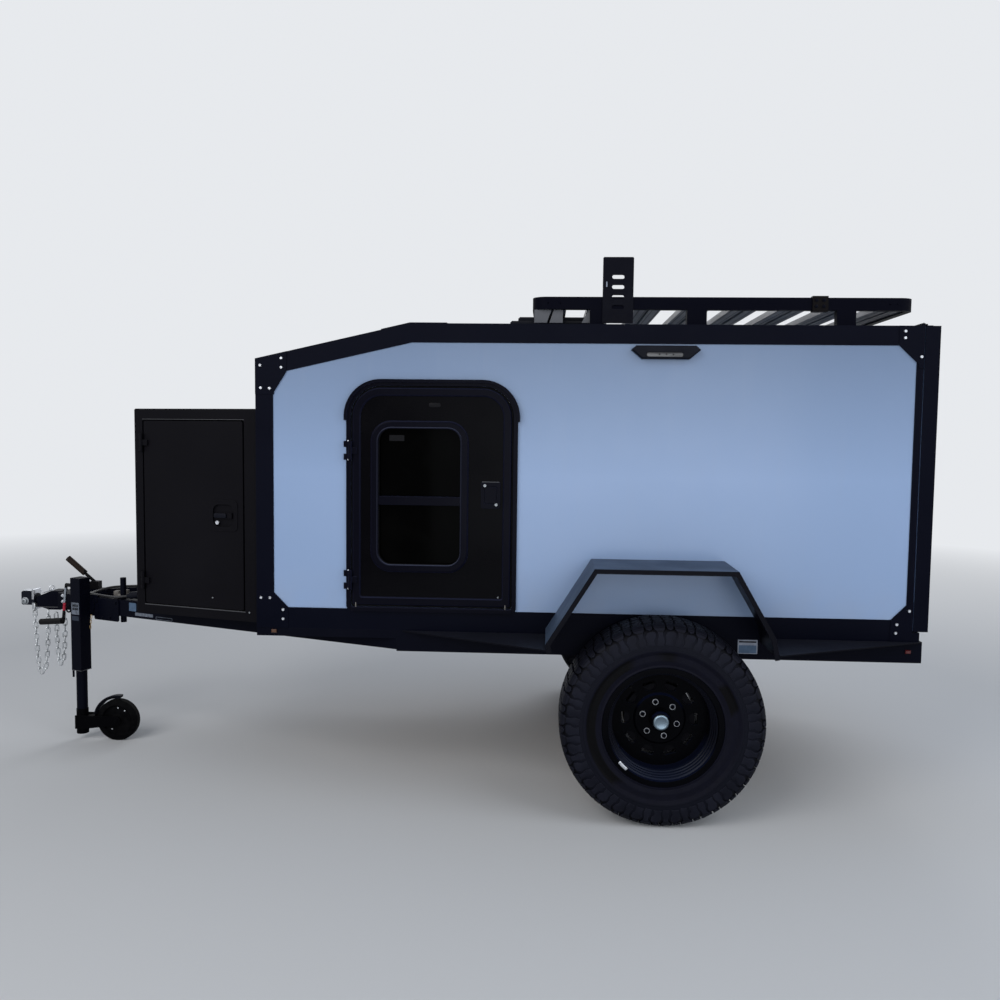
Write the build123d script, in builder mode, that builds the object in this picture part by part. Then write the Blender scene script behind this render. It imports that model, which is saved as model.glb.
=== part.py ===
"""Off-road teardrop trailer with a squared body, parked on its tongue jack.

Millimetres, +X towards the hitch, +Y to the trailer's left, +Z up.
The origin is on the ground, midway along and across the whole trailer.
Aft is measured back from the cabin's front wall, ahead is measured forward from it.
"""
from math import atan2, cos, degrees, radians, sin, tan
import os

from build123d import *

# Cabin body
BODY_LENGTH = 2690
BODY_WIDTH = 1524
BODY_BOTTOM_Z = 701
ROOF_TOP_Z = 1967
FRONT_TOP_Z = 1820
ROOF_BREAK_AFT = 641
WALL = 38
FLOOR_THICKNESS = 38
HITCH_REACH = 1446

# Edge trims, which are angles of sheet metal, and the cover over the roof's fold
TRIM_THICKNESS = 3
TRIM_TOP = 78
TRIM_BOTTOM = 88
TRIM_FRONT = 74
TRIM_REAR = 27
TRIM_BAND = 76
SEAM_AHEAD_OF_BREAK = 119
SEAM_BEHIND_BREAK = 151
SEAM_THICKNESS = 3
# Corner gussets: each point's distance from the end wall, and from the roof line or the bottom
GUSSET_PROUD = 3
GUSSET_FRONT_TOP = ((0, 0), (133, 0), (129, 84), (78, 154), (78, 164), (0, 146))
GUSSET_REAR_TOP = ((0, 0), (100, 0), (99, 76), (20, 151), (20, 167), (0, 167))
GUSSET_REAR_BOTTOM = ((0, 0), (90, 0), (87, 88), (22, 154), (0, 164))
GUSSET_FRONT_BOTTOM = ((0, 0), (134, 0), (134, 88), (74, 149), (0, 159))

# Rear hatch, the frame that it closes on, and its bead-and-channel hinge
HATCH_THICKNESS = 58
HATCH_GAP = 4
HATCH_BOTTOM_Z = 742
HATCH_BORDER = 60
HATCH_BORDER_CHAMFER = 55
HATCH_HANDLE = (170, 60)
HATCH_HANDLE_RISE = 110
REAR_SILL_REACH = 29
REAR_FRAME_DEPTH = 60
REAR_JAMB = 42
HATCH_HINGE_LENGTH = 1500
HATCH_HINGE_RISE = 7.5
HATCH_BEAD_RADIUS = 4
HATCH_CHANNEL_WALL = 2.5
HATCH_CHANNEL_OPENING = (68, 205)
HATCH_NECK = 2.5
HATCH_NECK_REACH = 12.5
HATCH_LEAF_LENGTH = 24
HATCH_LEAF_THICKNESS = 3

# Galley boards behind the sleeping space
GALLEY_AFT = 2080
BOARD = 15
BOARD_CLEARANCE = 0.3
COUNTER_TOP_Z = 1267
COUNTER_THICKNESS = 22
COUNTER_LENGTH = 500
GALLEY_UPRIGHT_Y = 240

# Chassis tubes
RAIL_HEIGHT = 87
RAIL_WIDTH = 51
RAIL_REAR_REACH = 41
CORNER_RAIL_HEIGHT = 34
LEG_HEIGHT = 80
LEG_WIDTH = 51
LEG_START_AFT = 590
A_FRAME_HALF_ANGLE = 20.9
NOSE_REAR_AHEAD = 1190
NOSE_LENGTH = 50
CROSS_MEMBER_AFT = (700, 1180, 2140)
CROSS_MEMBER_WIDTH = 51
POST_AHEAD = 850
POST_RADIUS = 14
POST_INSET = 15
POST_BOTTOM_Z = 585
POST_TOP_Z = 803

# Axle and wheels
AXLE_AFT = 1667
TYRE_RADIUS = 401.5
TYRE_WIDTH = 265
TREAD_HALF_WIDTH = 98
SHOULDER_HALF_WIDTH = 116
SHOULDER_DROP = 14
SIDEWALL_BULGE_DROP = 92
WHEEL_CENTRE_Y = 902
RIM_BEAD_RADIUS = 218
RIM_WELL_RADIUS = 196
RIM_FLANGE_RADIUS = 233.5
RIM_WIDTH = 246
RIM_WALL = 5
RIM_FLANGE = 12
BEAD_CLEARANCE = 0.3
WHEEL_DISC_BACK = -10
WHEEL_DISC_THICKNESS = 8
WHEEL_PAD_RADIUS = 96
WHEEL_PAD_RISE = 8
LUG_CIRCLE_DIAMETER = 139.7
LUG_COUNT = 6
LUG_HOLE_RADIUS = 8
WHEEL_WINDOW_COUNT = 10
WHEEL_WINDOW_CIRCLE = 139
WHEEL_WINDOW_RADIUS = 25
WHEEL_WINDOW_FLAT = 12
HUB_BORE_RADIUS = 42
HUB_NOSE = 58
DRUM_RADIUS = 140
DRUM_DEPTH = 78
DRUM_WALL = 8
SPINDLE_RADIUS = 20
SPINDLE_CLEARANCE = 0.3
BEAM_SIZE = 76
BEAM_AHEAD_OF_AXLE = 110
ARM_THICKNESS = 36
ARM_END_RADIUS = 44

# Fenders: each fold's place ahead of the axle, and its height against the fender's top
FENDER_TOP_Z = 1016
FENDER_OUTER_Y = 1058
FENDER_FOLDS = ((451, -331), (458, -294), (275, 0), (-265, 0), (-410, -252), (-426, -332))
FENDER_LIP = 18
PLATE = 5
STEP_FRONT_AFT = 615

# Entry doors
DOOR_FRAME_AFT = 380
DOOR_FRAME_WIDTH = 706
DOOR_FRAME_BOTTOM_Z = 782
DOOR_FRAME_HEIGHT = 949
DOOR_FRAME_BORDER = 18
DOOR_FRAME_PROUD = 7
DOOR_TOP_RADIUS = 145
DOOR_BOTTOM_RADIUS = 22
DRIP_CAP_OUTSET = 8
DRIP_CAP_INSET = 4
DRIP_CAP_PROUD = 20
DRIP_CAP_LENGTH = 160
SILL_STRIP = (16, 14)
DOOR_GAP = 8
DOOR_RECESS = 2
DOOR_RING_WIDTH = 33
DOOR_RING_PROUD = 8
DOOR_RING_BEVEL = 4
WINDOW_AFT = 481
WINDOW_BOTTOM_Z = 946
WINDOW_WIDTH = 404
WINDOW_HEIGHT = 625
WINDOW_RADIUS = 85
WINDOW_BORDER = 30
WINDOW_PROUD = 11
WINDOW_ROUNDING = 8
WINDOW_BAR_Z = 1243
WINDOW_BAR_HEIGHT = 35
GLASS_THICKNESS = 6
GLASS_DEPTH = 26
DOOR_LATCH_AFT = 977
DOOR_LATCH_Z = 1271
DOOR_LATCH_SIZE = (79, 110, 12)
DOOR_LATCH_PADDLE = (46, 66)
DOOR_LATCH_POCKET = 5
DOOR_LOCK_RADIUS = 8
DOOR_HINGE_Z = (913, 1447)
HINGE_RADIUS = 8
HINGE_PIN_RADIUS = 4
HINGE_LENGTH = 79
HINGE_LEAF = 26
HINGE_CLEARANCE = 0.3
HINGE_STANDOFF = 18

# Storage box on the tongue
BOX_HEIGHT = 915
BOX_GAP = 4
BOX_REAR_HALF_WIDTH = 666
BOX_FRONT_HALF_WIDTH = 498
BOX_DEPTH = 631
BOX_STRAIGHT = 35
BOX_WALL = 20
BOX_EDGE_CHAMFER = 5
BOX_CORNER_RADIUS = 12
BOX_DOOR_MARGIN_FRONT = 45
BOX_DOOR_MARGIN_REAR = 48
BOX_DOOR_MARGIN_BOTTOM = 39
BOX_DOOR_MARGIN_TOP = 45
BOX_DOOR_CORNER_RADIUS = 16
BOX_DOOR_THICKNESS = 18
BOX_LATCH_SIZE = (141, 136)
BOX_LATCH_POCKET = (106, 96, 10)
BOX_LATCH_HANDLE = (84, 24)
BOX_LATCH_ALONG = 466
BOX_LATCH_RISE = 455
BOX_HINGE_HEIGHTS = (150, 765)
BOX_HINGE_REACH = 10
BOX_HINGE_LEAF = 24

# Roof rack and roof fittings; each foot is its middle's place aft, and its length
RACK_FRONT_AFT = 1136
RACK_LENGTH = 1556
RACK_HALF_WIDTH = 654
RACK_BOTTOM_Z = 2040
RACK_HEIGHT = 51
RACK_RAIL = 30
RACK_CORNER_RADIUS = 60
RACK_FEET = ((1403, 58), (1812, 81), (2417, 76))
RACK_FOOT_DEPTH = 40
RACK_FOOT_FLANGE = (26, 12, 5)
SLAT_COUNT = 8
SLAT_WIDTH = 110
SLAT_THICKNESS = 24
SLAT_RISE = 6
SLAT_GROOVE = (14, 10)
SLAT_CLEARANCE = 0.3
BRACKET_AFT = 1424
BRACKET_SIZE = (126, 6, 269)
BRACKET_BOTTOM_Z = 1983
BRACKET_CHAMFER = 4
BRACKET_SLOTS = 4
BRACKET_SLOT_SIZE = (50, 16)
BRACKET_SLOT_PITCH = 41
BRACKET_SLOT_MIDDLE = 127
CLAMP_AFT = 2277
CLAMP_LENGTH = 63
CLAMP_WALL = 6
CLAMP_LIP = 24
VENT_AFT = 1035
VENT_SIZE = (405, 900, 53)
VENT_LID_INSET = 34
VENT_LID_RISE = 21
VENT_CHAMFER = 8
PORCH_LIGHT_AFT = 1536
PORCH_LIGHT_TOP_Z = 1881
PORCH_LIGHT_SIZE = (276, 53, 32)
PORCH_LIGHT_TAPER = 43
PORCH_LIGHT_SHOULDER = (19, 17)
PORCH_LENS = (148, 22, 3)
PORCH_LENS_RISE = 16
MARKER_SIZE = (22, 10, 14)
MARKER_FRONT_AFT = 74
MARKER_REAR_AHEAD_OF_RAIL_END = 56
TAIL_LIGHT_SIZE = (12, 150, 28)
TAIL_LIGHT_INSET = 40

# Hitch: the coupler's side view, ahead of the nose and against the roll axis
COUPLER_DROP = 50
COUPLER_OUTLINE = ((0, -41), (0, 54), (50, 54), (120, 24), (120, -23), (60, -41))
COUPLER_HALF_WIDTH = 38
COUPLER_ROLL_RADIUS = 18
COUPLER_ROLL_LENGTH = 76
COUPLER_COLLAR = (36, 14)
COUPLER_HEAD_LENGTH = 54
COUPLER_HEAD_SIZE = 64
COUPLER_HEAD_BOTTOM = -20
COUPLER_HEAD_TOP = 50
COUPLER_HEAD_ROUNDING = 10
COUPLER_PIN_FROM_TIP = 20
COUPLER_PIN_RADIUS = 12.7

# Tongue jack, square to the left leg of the tongue
JACK_AHEAD = 1063
JACK_OUTER = 62
JACK_TUBE_WALL = 4
JACK_CAP = 10
JACK_COLLAR = 12
JACK_INNER_RADIUS = 25.5
JACK_TOP_Z = 800
JACK_OUTER_BOTTOM_Z = 345
JACK_LEG_TOP_Z = 595
JACK_SLEEVE_TOP_Z = 152
JACK_SLEEVE_BOTTOM_Z = 30
JACK_SLEEVE_RADIUS = 28
JACK_STEM_RADIUS = 20
JACK_PLATE = (150, 8, 104)
JACK_DISC_RADIUS = 56
JACK_DISC_THICKNESS = 6
JACK_PIN = (5, 34)
JACK_WHEEL_RADIUS = 101
JACK_WHEEL_WIDTH = 46
JACK_WHEEL_TRAIL = 182
JACK_AXLE_RADIUS = 8
JACK_CHEEK = 6
JACK_CHEEK_GAP = 5
JACK_ARM_RADIUS = 22
JACK_GUARD = (111, 4, 34)
JACK_GUARD_ANGLES = (8, 84)
# Crank bends: along the jack's front, and height; then the bar's radius that ends there
CRANK_START = (31, 757)
CRANK_BENDS = ((93, 757, 9), (117, 590, 7), (123, 575, 9), (273, 556, 15))
SLIDE_CLEARANCE = 0.5

# Parking brake lever on the right leg
LEVER_AHEAD = 1117
LEVER_BLOCK = (46, 40, 39)
LEVER_INSET = 25
LEVER_RUN = 145
LEVER_RISE = 125
LEVER_ROD_RADIUS = 8
LEVER_GRIP_RADIUS = 15
LEVER_GRIP_SHARE = 0.62

# Trailer lead: a gland on the storage box's front, and the route's points
LEAD_DIAMETER = 12
GLAND_LENGTH = 30
GLAND_Y = -250
GLAND_RISE = 34
# Each point is ahead of the cabin, across, and above the rails' top
LEAD_ROUTE = (
    (716, -250, 34), (768, -225, 13), (836, -194, 6.4), (910, -160, 6.4), (984, -131, 7), (1038, -90, 8.5),
    (1072, -32, 1), (1078, 33, 0), (1054, 92, 8.5), (1000, 134, 7), (932, 168, 6.4), (872, 198, 8), (815, 204, 17.3),
)
PLUG_RADII = (9, 17)
PLUG_LENGTHS = (16, 44)

# Places worked out from the driving dimensions
OVERALL_LENGTH = HITCH_REACH + BODY_LENGTH + HATCH_GAP + HATCH_THICKNESS
BODY_FRONT_X = OVERALL_LENGTH / 2 - HITCH_REACH
BODY_REAR_X = BODY_FRONT_X - BODY_LENGTH
AXLE_X = BODY_FRONT_X - AXLE_AFT
SIDE_Y = BODY_WIDTH / 2
PANEL_Y = SIDE_Y - TRIM_THICKNESS
INNER_Y = PANEL_Y - WALL
BAND_Y = SIDE_Y - TRIM_BAND
ROOF_PANEL_Z = ROOF_TOP_Z - TRIM_THICKNESS
ROOF_UNDER_Z = ROOF_PANEL_Z - WALL
ROOF_SLOPE = degrees(atan2(ROOF_TOP_Z - FRONT_TOP_Z, ROOF_BREAK_AFT))
RAIL_TOP_Z = BODY_BOTTOM_Z
RAIL_BOTTOM_Z = RAIL_TOP_Z - RAIL_HEIGHT
RAIL_REAR_X = BODY_REAR_X - RAIL_REAR_REACH
FLOOR_TOP_Z = BODY_BOTTOM_Z + FLOOR_THICKNESS
LEG_SLOPE = tan(radians(A_FRAME_HALF_ANGLE))
LEG_SKEW = LEG_WIDTH / cos(radians(A_FRAME_HALF_ANGLE))
NOSE_FRONT_AHEAD = NOSE_REAR_AHEAD + NOSE_LENGTH
COUPLER_Z = RAIL_TOP_Z - COUPLER_DROP
BOX_BOTTOM_Z = RAIL_TOP_Z
BOX_FRONT_X = BODY_FRONT_X + BOX_GAP + BOX_DEPTH
BOX_TAPER = atan2(BOX_REAR_HALF_WIDTH - BOX_FRONT_HALF_WIDTH, BOX_DEPTH - BOX_STRAIGHT)
JACK_STANDOFF = JACK_PLATE[1] + JACK_DISC_THICKNESS
JACK_X = BODY_FRONT_X + JACK_AHEAD
JACK_Y = (
    SIDE_Y - (LEG_START_AFT + JACK_AHEAD) * LEG_SLOPE
    + (JACK_OUTER / 2 + JACK_STANDOFF) / cos(radians(A_FRAME_HALF_ANGLE))
)

nodes = {}


def aft(distance):
    """The X of a point that lies a distance behind the cabin's front wall."""
    return BODY_FRONT_X - distance


def leg_outer_y(ahead):
    """The Y of the left tongue leg's outer face, a distance ahead of the cabin."""
    return SIDE_Y - (LEG_START_AFT + ahead) * LEG_SLOPE


def side_plane(y):
    """A plane across the trailer at y, drawn in X and Z, facing -Y."""
    return Plane(origin=(0, y, 0), x_dir=(1, 0, 0), z_dir=(0, -1, 0))


def rear_plane(x):
    """A plane along the trailer at x, drawn in Y and Z, facing +X."""
    return Plane(origin=(x, 0, 0), x_dir=(0, 1, 0), z_dir=(1, 0, 0))


def keep(name, part):
    """Label a finished piece and put it in the list of nodes."""
    part.label = name
    nodes[name] = part


def keep_pair(name, part):
    """Keep a piece and its mirror image as one node of separate solids."""
    with BuildPart() as pair:
        add(part)
        mirror(part, about=Plane.XZ)
    keep(name, pair.part)


def keep_sides(name, part):
    """Keep a left-hand piece and its right-hand mirror image as two nodes."""
    keep(name + "_left", part)
    with BuildPart() as right:
        mirror(part, about=Plane.XZ)
    keep(name + "_right", right.part)


def slab(points, y_low, y_high):
    """A flat outline in X and Z, as thick as the distance between two Y values."""
    with BuildPart() as plate:
        with BuildSketch(side_plane(y_low)):
            with BuildLine():
                Polyline(*points, close=True)
            make_face()
        extrude(amount=y_low - y_high)
    return plate.part


def plan_slab(points, z_low, z_high):
    """A flat outline in X and Y, between two heights."""
    with BuildPart() as plate:
        with BuildSketch(Plane.XY.offset(z_low)):
            with BuildLine():
                Polyline(*points, close=True)
            make_face()
        extrude(amount=z_high - z_low)
    return plate.part


def block(x_low, x_high, y_low, y_high, z_low, z_high):
    """A rectangular piece between its two corners."""
    with BuildPart() as piece:
        with Locations(((x_low + x_high) / 2, (y_low + y_high) / 2, (z_low + z_high) / 2)):
            Box(x_high - x_low, y_high - y_low, z_high - z_low)
    return piece.part


def rod(start, end, radius):
    """A round bar between two points."""
    run = Vector(end) - Vector(start)
    with BuildPart() as bar:
        with BuildSketch(Plane(origin=start, z_dir=run)):
            Circle(radius)
        extrude(amount=run.length)
    return bar.part


def slope_z(distance_aft, depth=0):
    """The height of the sloped roof, or of a line that runs the given depth under it."""
    return FRONT_TOP_Z + distance_aft * tan(radians(ROOF_SLOPE)) - depth / cos(radians(ROOF_SLOPE))


def break_aft(depth):
    """Where a line under the sloped roof meets the same depth under the flat roof."""
    return (ROOF_TOP_Z - depth - slope_z(0, depth)) / tan(radians(ROOF_SLOPE))


def body_outline(depth=0):
    """The side view of the cabin, a depth inside its front and roof, as points in X and Z."""
    return [
        (aft(depth), BODY_BOTTOM_Z),
        (aft(depth), slope_z(depth, depth)),
        (aft(break_aft(depth)), ROOF_TOP_Z - depth),
        (aft(BODY_LENGTH), ROOF_TOP_Z - depth),
        (aft(BODY_LENGTH), BODY_BOTTOM_Z),
    ]


def roof_strip(front, rear, high, low):
    """The side view of a strip over the roof's fold, between two depths, as points in X and Z."""
    return [
        (aft(front), slope_z(front, high)),
        (aft(break_aft(high)), ROOF_TOP_Z - high),
        (aft(rear), ROOF_TOP_Z - high),
        (aft(rear), ROOF_TOP_Z - low),
        (aft(break_aft(low)), ROOF_TOP_Z - low),
        (aft(front), slope_z(front, low)),
    ]


def door_outline(inset):
    """The entry door's arch-topped outline, drawn inside its outer edge by the inset."""
    width = DOOR_FRAME_WIDTH - 2 * inset
    height = DOOR_FRAME_HEIGHT - 2 * inset
    middle_x = aft(DOOR_FRAME_AFT + DOOR_FRAME_WIDTH / 2)
    middle_z = DOOR_FRAME_BOTTOM_Z + DOOR_FRAME_HEIGHT / 2
    with BuildSketch(Plane.XY) as outline:
        with Locations((middle_x, middle_z)):
            Rectangle(width, height)
        fillet(outline.vertices().group_by(Axis.Y)[-1], DOOR_TOP_RADIUS - inset)
        fillet(outline.vertices().group_by(Axis.Y)[0], max(DOOR_BOTTOM_RADIUS - inset, 8))
    return outline.sketch


def window_outline(inset):
    """The door window's rounded outline, drawn inside its outer edge by the inset."""
    with BuildSketch(Plane.XY) as outline:
        with Locations((aft(WINDOW_AFT + WINDOW_WIDTH / 2), WINDOW_BOTTOM_Z + WINDOW_HEIGHT / 2)):
            RectangleRounded(
                WINDOW_WIDTH - 2 * inset, WINDOW_HEIGHT - 2 * inset, WINDOW_RADIUS - inset
            )
    return outline.sketch


def make_cabin():
    """Side walls, front wall, roof, floor, and the rear frame with its sill."""
    with BuildPart() as wall:
        with BuildSketch(side_plane(INNER_Y)):
            with BuildLine():
                Polyline(*body_outline(TRIM_THICKNESS), close=True)
            make_face()
            add(door_outline(DOOR_FRAME_BORDER), mode=Mode.SUBTRACT)
        extrude(amount=INNER_Y - PANEL_Y)
    keep_sides("side_wall", wall.part)

    seat = TRIM_THICKNESS + WALL
    front_points = [
        (aft(TRIM_THICKNESS), BODY_BOTTOM_Z),
        (aft(TRIM_THICKNESS), slope_z(TRIM_THICKNESS, TRIM_THICKNESS)),
        (aft(seat), slope_z(seat, TRIM_THICKNESS)),
        (aft(seat), BODY_BOTTOM_Z),
    ]
    keep("front_wall", slab(front_points, -INNER_Y, INNER_Y))
    roof_points = roof_strip(seat, BODY_LENGTH, TRIM_THICKNESS, seat)
    keep("roof", slab(roof_points, -INNER_Y, INNER_Y))
    keep("floor_deck", block(BODY_REAR_X, aft(seat), -INNER_Y, INNER_Y, BODY_BOTTOM_Z, FLOOR_TOP_Z))

    height = ROOF_UNDER_Z - FLOOR_TOP_Z
    with BuildPart() as frame:
        with BuildSketch(rear_plane(BODY_REAR_X)):
            with Locations((0, FLOOR_TOP_Z + height / 2)):
                Rectangle(2 * INNER_Y, height)
                Rectangle(2 * (INNER_Y - REAR_JAMB), height - 2 * REAR_JAMB, mode=Mode.SUBTRACT)
        extrude(amount=REAR_FRAME_DEPTH)
    keep("rear_frame", frame.part)
    sill_top_z = HATCH_BOTTOM_Z - HATCH_GAP
    keep(
        "rear_sill",
        block(BODY_REAR_X - REAR_SILL_REACH, BODY_REAR_X, -SIDE_Y, SIDE_Y, BODY_BOTTOM_Z, sill_top_z),
    )


def make_trims():
    """The folded edge trims with their corner gussets, and the cover over the roof's fold."""
    inner = [
        (aft(TRIM_FRONT), BODY_BOTTOM_Z + TRIM_BOTTOM),
        (aft(TRIM_FRONT), slope_z(TRIM_FRONT, TRIM_TOP)),
        (aft(break_aft(TRIM_TOP)), ROOF_TOP_Z - TRIM_TOP),
        (aft(BODY_LENGTH - TRIM_REAR), ROOF_TOP_Z - TRIM_TOP),
        (aft(BODY_LENGTH - TRIM_REAR), BODY_BOTTOM_Z + TRIM_BOTTOM),
    ]
    gussets = [
        [(aft(run), slope_z(run) - drop) for run, drop in GUSSET_FRONT_TOP],
        [(aft(BODY_LENGTH - run), ROOF_TOP_Z - drop) for run, drop in GUSSET_REAR_TOP],
        [(aft(BODY_LENGTH - run), BODY_BOTTOM_Z + rise) for run, rise in GUSSET_REAR_BOTTOM],
        [(aft(run), BODY_BOTTOM_Z + rise) for run, rise in GUSSET_FRONT_BOTTOM],
    ]
    band = body_outline()[:4] + body_outline(TRIM_THICKNESS)[3::-1]
    with BuildPart() as trim:
        with BuildSketch(side_plane(PANEL_Y)):
            with BuildLine():
                Polyline(*body_outline(), close=True)
            make_face()
            with BuildLine():
                Polyline(*inner, close=True)
            make_face(mode=Mode.SUBTRACT)
        extrude(amount=PANEL_Y - SIDE_Y)
        add(slab(band, BAND_Y, SIDE_Y))
        for points in gussets:
            add(slab(points, PANEL_Y, SIDE_Y + GUSSET_PROUD))
        with BuildSketch(side_plane(PANEL_Y)):
            add(door_outline(0))
        extrude(amount=PANEL_Y - SIDE_Y, mode=Mode.SUBTRACT)
    keep_pair("edge_trims", trim.part)

    front = ROOF_BREAK_AFT - SEAM_AHEAD_OF_BREAK
    rear = ROOF_BREAK_AFT + SEAM_BEHIND_BREAK
    with BuildPart() as seam:
        add(slab(roof_strip(front, rear, -SEAM_THICKNESS, 0), -SIDE_Y, SIDE_Y))
        add(slab(roof_strip(front, rear, 0, TRIM_THICKNESS), -BAND_Y, BAND_Y))
    keep("roof_seam", seam.part)


def make_hatch():
    """The top-hinged rear hatch, its folded trim, and the hinge's channel and bead."""
    hatch_front_x = BODY_REAR_X - HATCH_GAP
    hatch_rear_x = hatch_front_x - HATCH_THICKNESS
    core_rear_x = hatch_rear_x + TRIM_THICKNESS
    height = ROOF_TOP_Z - HATCH_BOTTOM_Z
    middle_z = (ROOF_TOP_Z + HATCH_BOTTOM_Z) / 2
    core_half_y = SIDE_Y - TRIM_THICKNESS
    with BuildPart() as core:
        add(block(
            core_rear_x, hatch_front_x, -core_half_y, core_half_y,
            HATCH_BOTTOM_Z + TRIM_THICKNESS, ROOF_TOP_Z - TRIM_THICKNESS,
        ))
        with BuildSketch(rear_plane(hatch_rear_x)):
            with Locations((0, HATCH_BOTTOM_Z + HATCH_HANDLE_RISE)):
                RectangleRounded(*HATCH_HANDLE, 12)
                Rectangle(HATCH_HANDLE[0] / 2, HATCH_HANDLE[1] / 2, mode=Mode.SUBTRACT)
        extrude(amount=TRIM_THICKNESS)
    keep("rear_hatch", core.part)

    hinge_x = BODY_REAR_X - HATCH_GAP / 2
    hinge_z = ROOF_TOP_Z + HATCH_HINGE_RISE
    hinge_plane = side_plane(HATCH_HINGE_LENGTH / 2)
    leaf_z = ROOF_TOP_Z + HATCH_LEAF_THICKNESS / 2
    web_x = hinge_x - HATCH_NECK_REACH
    with BuildPart() as trim:
        with BuildSketch(rear_plane(hatch_rear_x)):
            with Locations((0, middle_z)):
                Rectangle(BODY_WIDTH, height)
                Rectangle(2 * core_half_y, height - 2 * TRIM_THICKNESS, mode=Mode.SUBTRACT)
        extrude(amount=HATCH_THICKNESS)
        with BuildSketch(rear_plane(hatch_rear_x)) as border:
            with Locations((0, middle_z)):
                Rectangle(BODY_WIDTH, height)
            with BuildSketch(Plane.XY, mode=Mode.SUBTRACT) as opening:
                with Locations((0, middle_z)):
                    Rectangle(BODY_WIDTH - 2 * HATCH_BORDER, height - 2 * HATCH_BORDER)
                chamfer(opening.vertices(), HATCH_BORDER_CHAMFER)
        extrude(amount=TRIM_THICKNESS)
        with BuildSketch(hinge_plane):
            with Locations((hinge_x, hinge_z)):
                Circle(HATCH_BEAD_RADIUS)
            with Locations((hinge_x - HATCH_NECK_REACH / 2, hinge_z)):
                Rectangle(HATCH_NECK_REACH, HATCH_NECK)
            web_height = HATCH_HINGE_RISE + HATCH_NECK / 2
            with Locations((web_x + HATCH_NECK / 2, ROOF_TOP_Z + web_height / 2)):
                Rectangle(HATCH_NECK, web_height)
            with Locations((web_x + HATCH_NECK - HATCH_LEAF_LENGTH / 2, leaf_z)):
                Rectangle(HATCH_LEAF_LENGTH, HATCH_LEAF_THICKNESS)
        extrude(amount=HATCH_HINGE_LENGTH)
    keep("hatch_trim", trim.part)

    bore = HATCH_BEAD_RADIUS + HINGE_CLEARANCE
    first, last = (radians(angle) for angle in HATCH_CHANNEL_OPENING)
    reach = 3 * bore
    mouth = [
        (hinge_x + reach * cos(angle), hinge_z + reach * sin(angle))
        for angle in (first, (first + last) / 2, last)
    ]
    with BuildPart() as channel:
        with BuildSketch(hinge_plane):
            with Locations((hinge_x, hinge_z)):
                Circle(bore + HATCH_CHANNEL_WALL)
            with Locations((BODY_REAR_X + HATCH_LEAF_LENGTH / 2, leaf_z)):
                Rectangle(HATCH_LEAF_LENGTH, HATCH_LEAF_THICKNESS)
            with Locations((hinge_x, hinge_z)):
                Circle(bore, mode=Mode.SUBTRACT)
            with BuildLine():
                Polyline((hinge_x, hinge_z), *mouth, close=True)
            make_face(mode=Mode.SUBTRACT)
        extrude(amount=HATCH_HINGE_LENGTH)
        add(block(
            BODY_REAR_X, BODY_REAR_X + HATCH_LEAF_LENGTH, -BAND_Y, BAND_Y, ROOF_PANEL_Z, ROOF_TOP_Z,
        ))
    keep("hatch_hinge", channel.part)


def make_galley():
    """The galley's boards: a bulkhead, a counter and two uprights under it."""
    half_y = INNER_Y - BOARD_CLEARANCE
    bulkhead_rear_x = aft(GALLEY_AFT + BOARD)
    counter_front_x = bulkhead_rear_x - BOARD_CLEARANCE
    counter_rear_x = counter_front_x - COUNTER_LENGTH
    counter_bottom_z = COUNTER_TOP_Z - COUNTER_THICKNESS
    foot_z = FLOOR_TOP_Z + BOARD_CLEARANCE
    with BuildPart() as boards:
        add(block(bulkhead_rear_x, aft(GALLEY_AFT), -half_y, half_y, foot_z, ROOF_UNDER_Z - BOARD_CLEARANCE))
        add(block(counter_rear_x, counter_front_x, -half_y, half_y, counter_bottom_z, COUNTER_TOP_Z))
        for middle in (-GALLEY_UPRIGHT_Y, GALLEY_UPRIGHT_Y):
            add(block(
                counter_rear_x, counter_front_x, middle - BOARD / 2, middle + BOARD / 2,
                foot_z, counter_bottom_z - BOARD_CLEARANCE,
            ))
    keep("galley_cabinet", boards.part)


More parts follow.
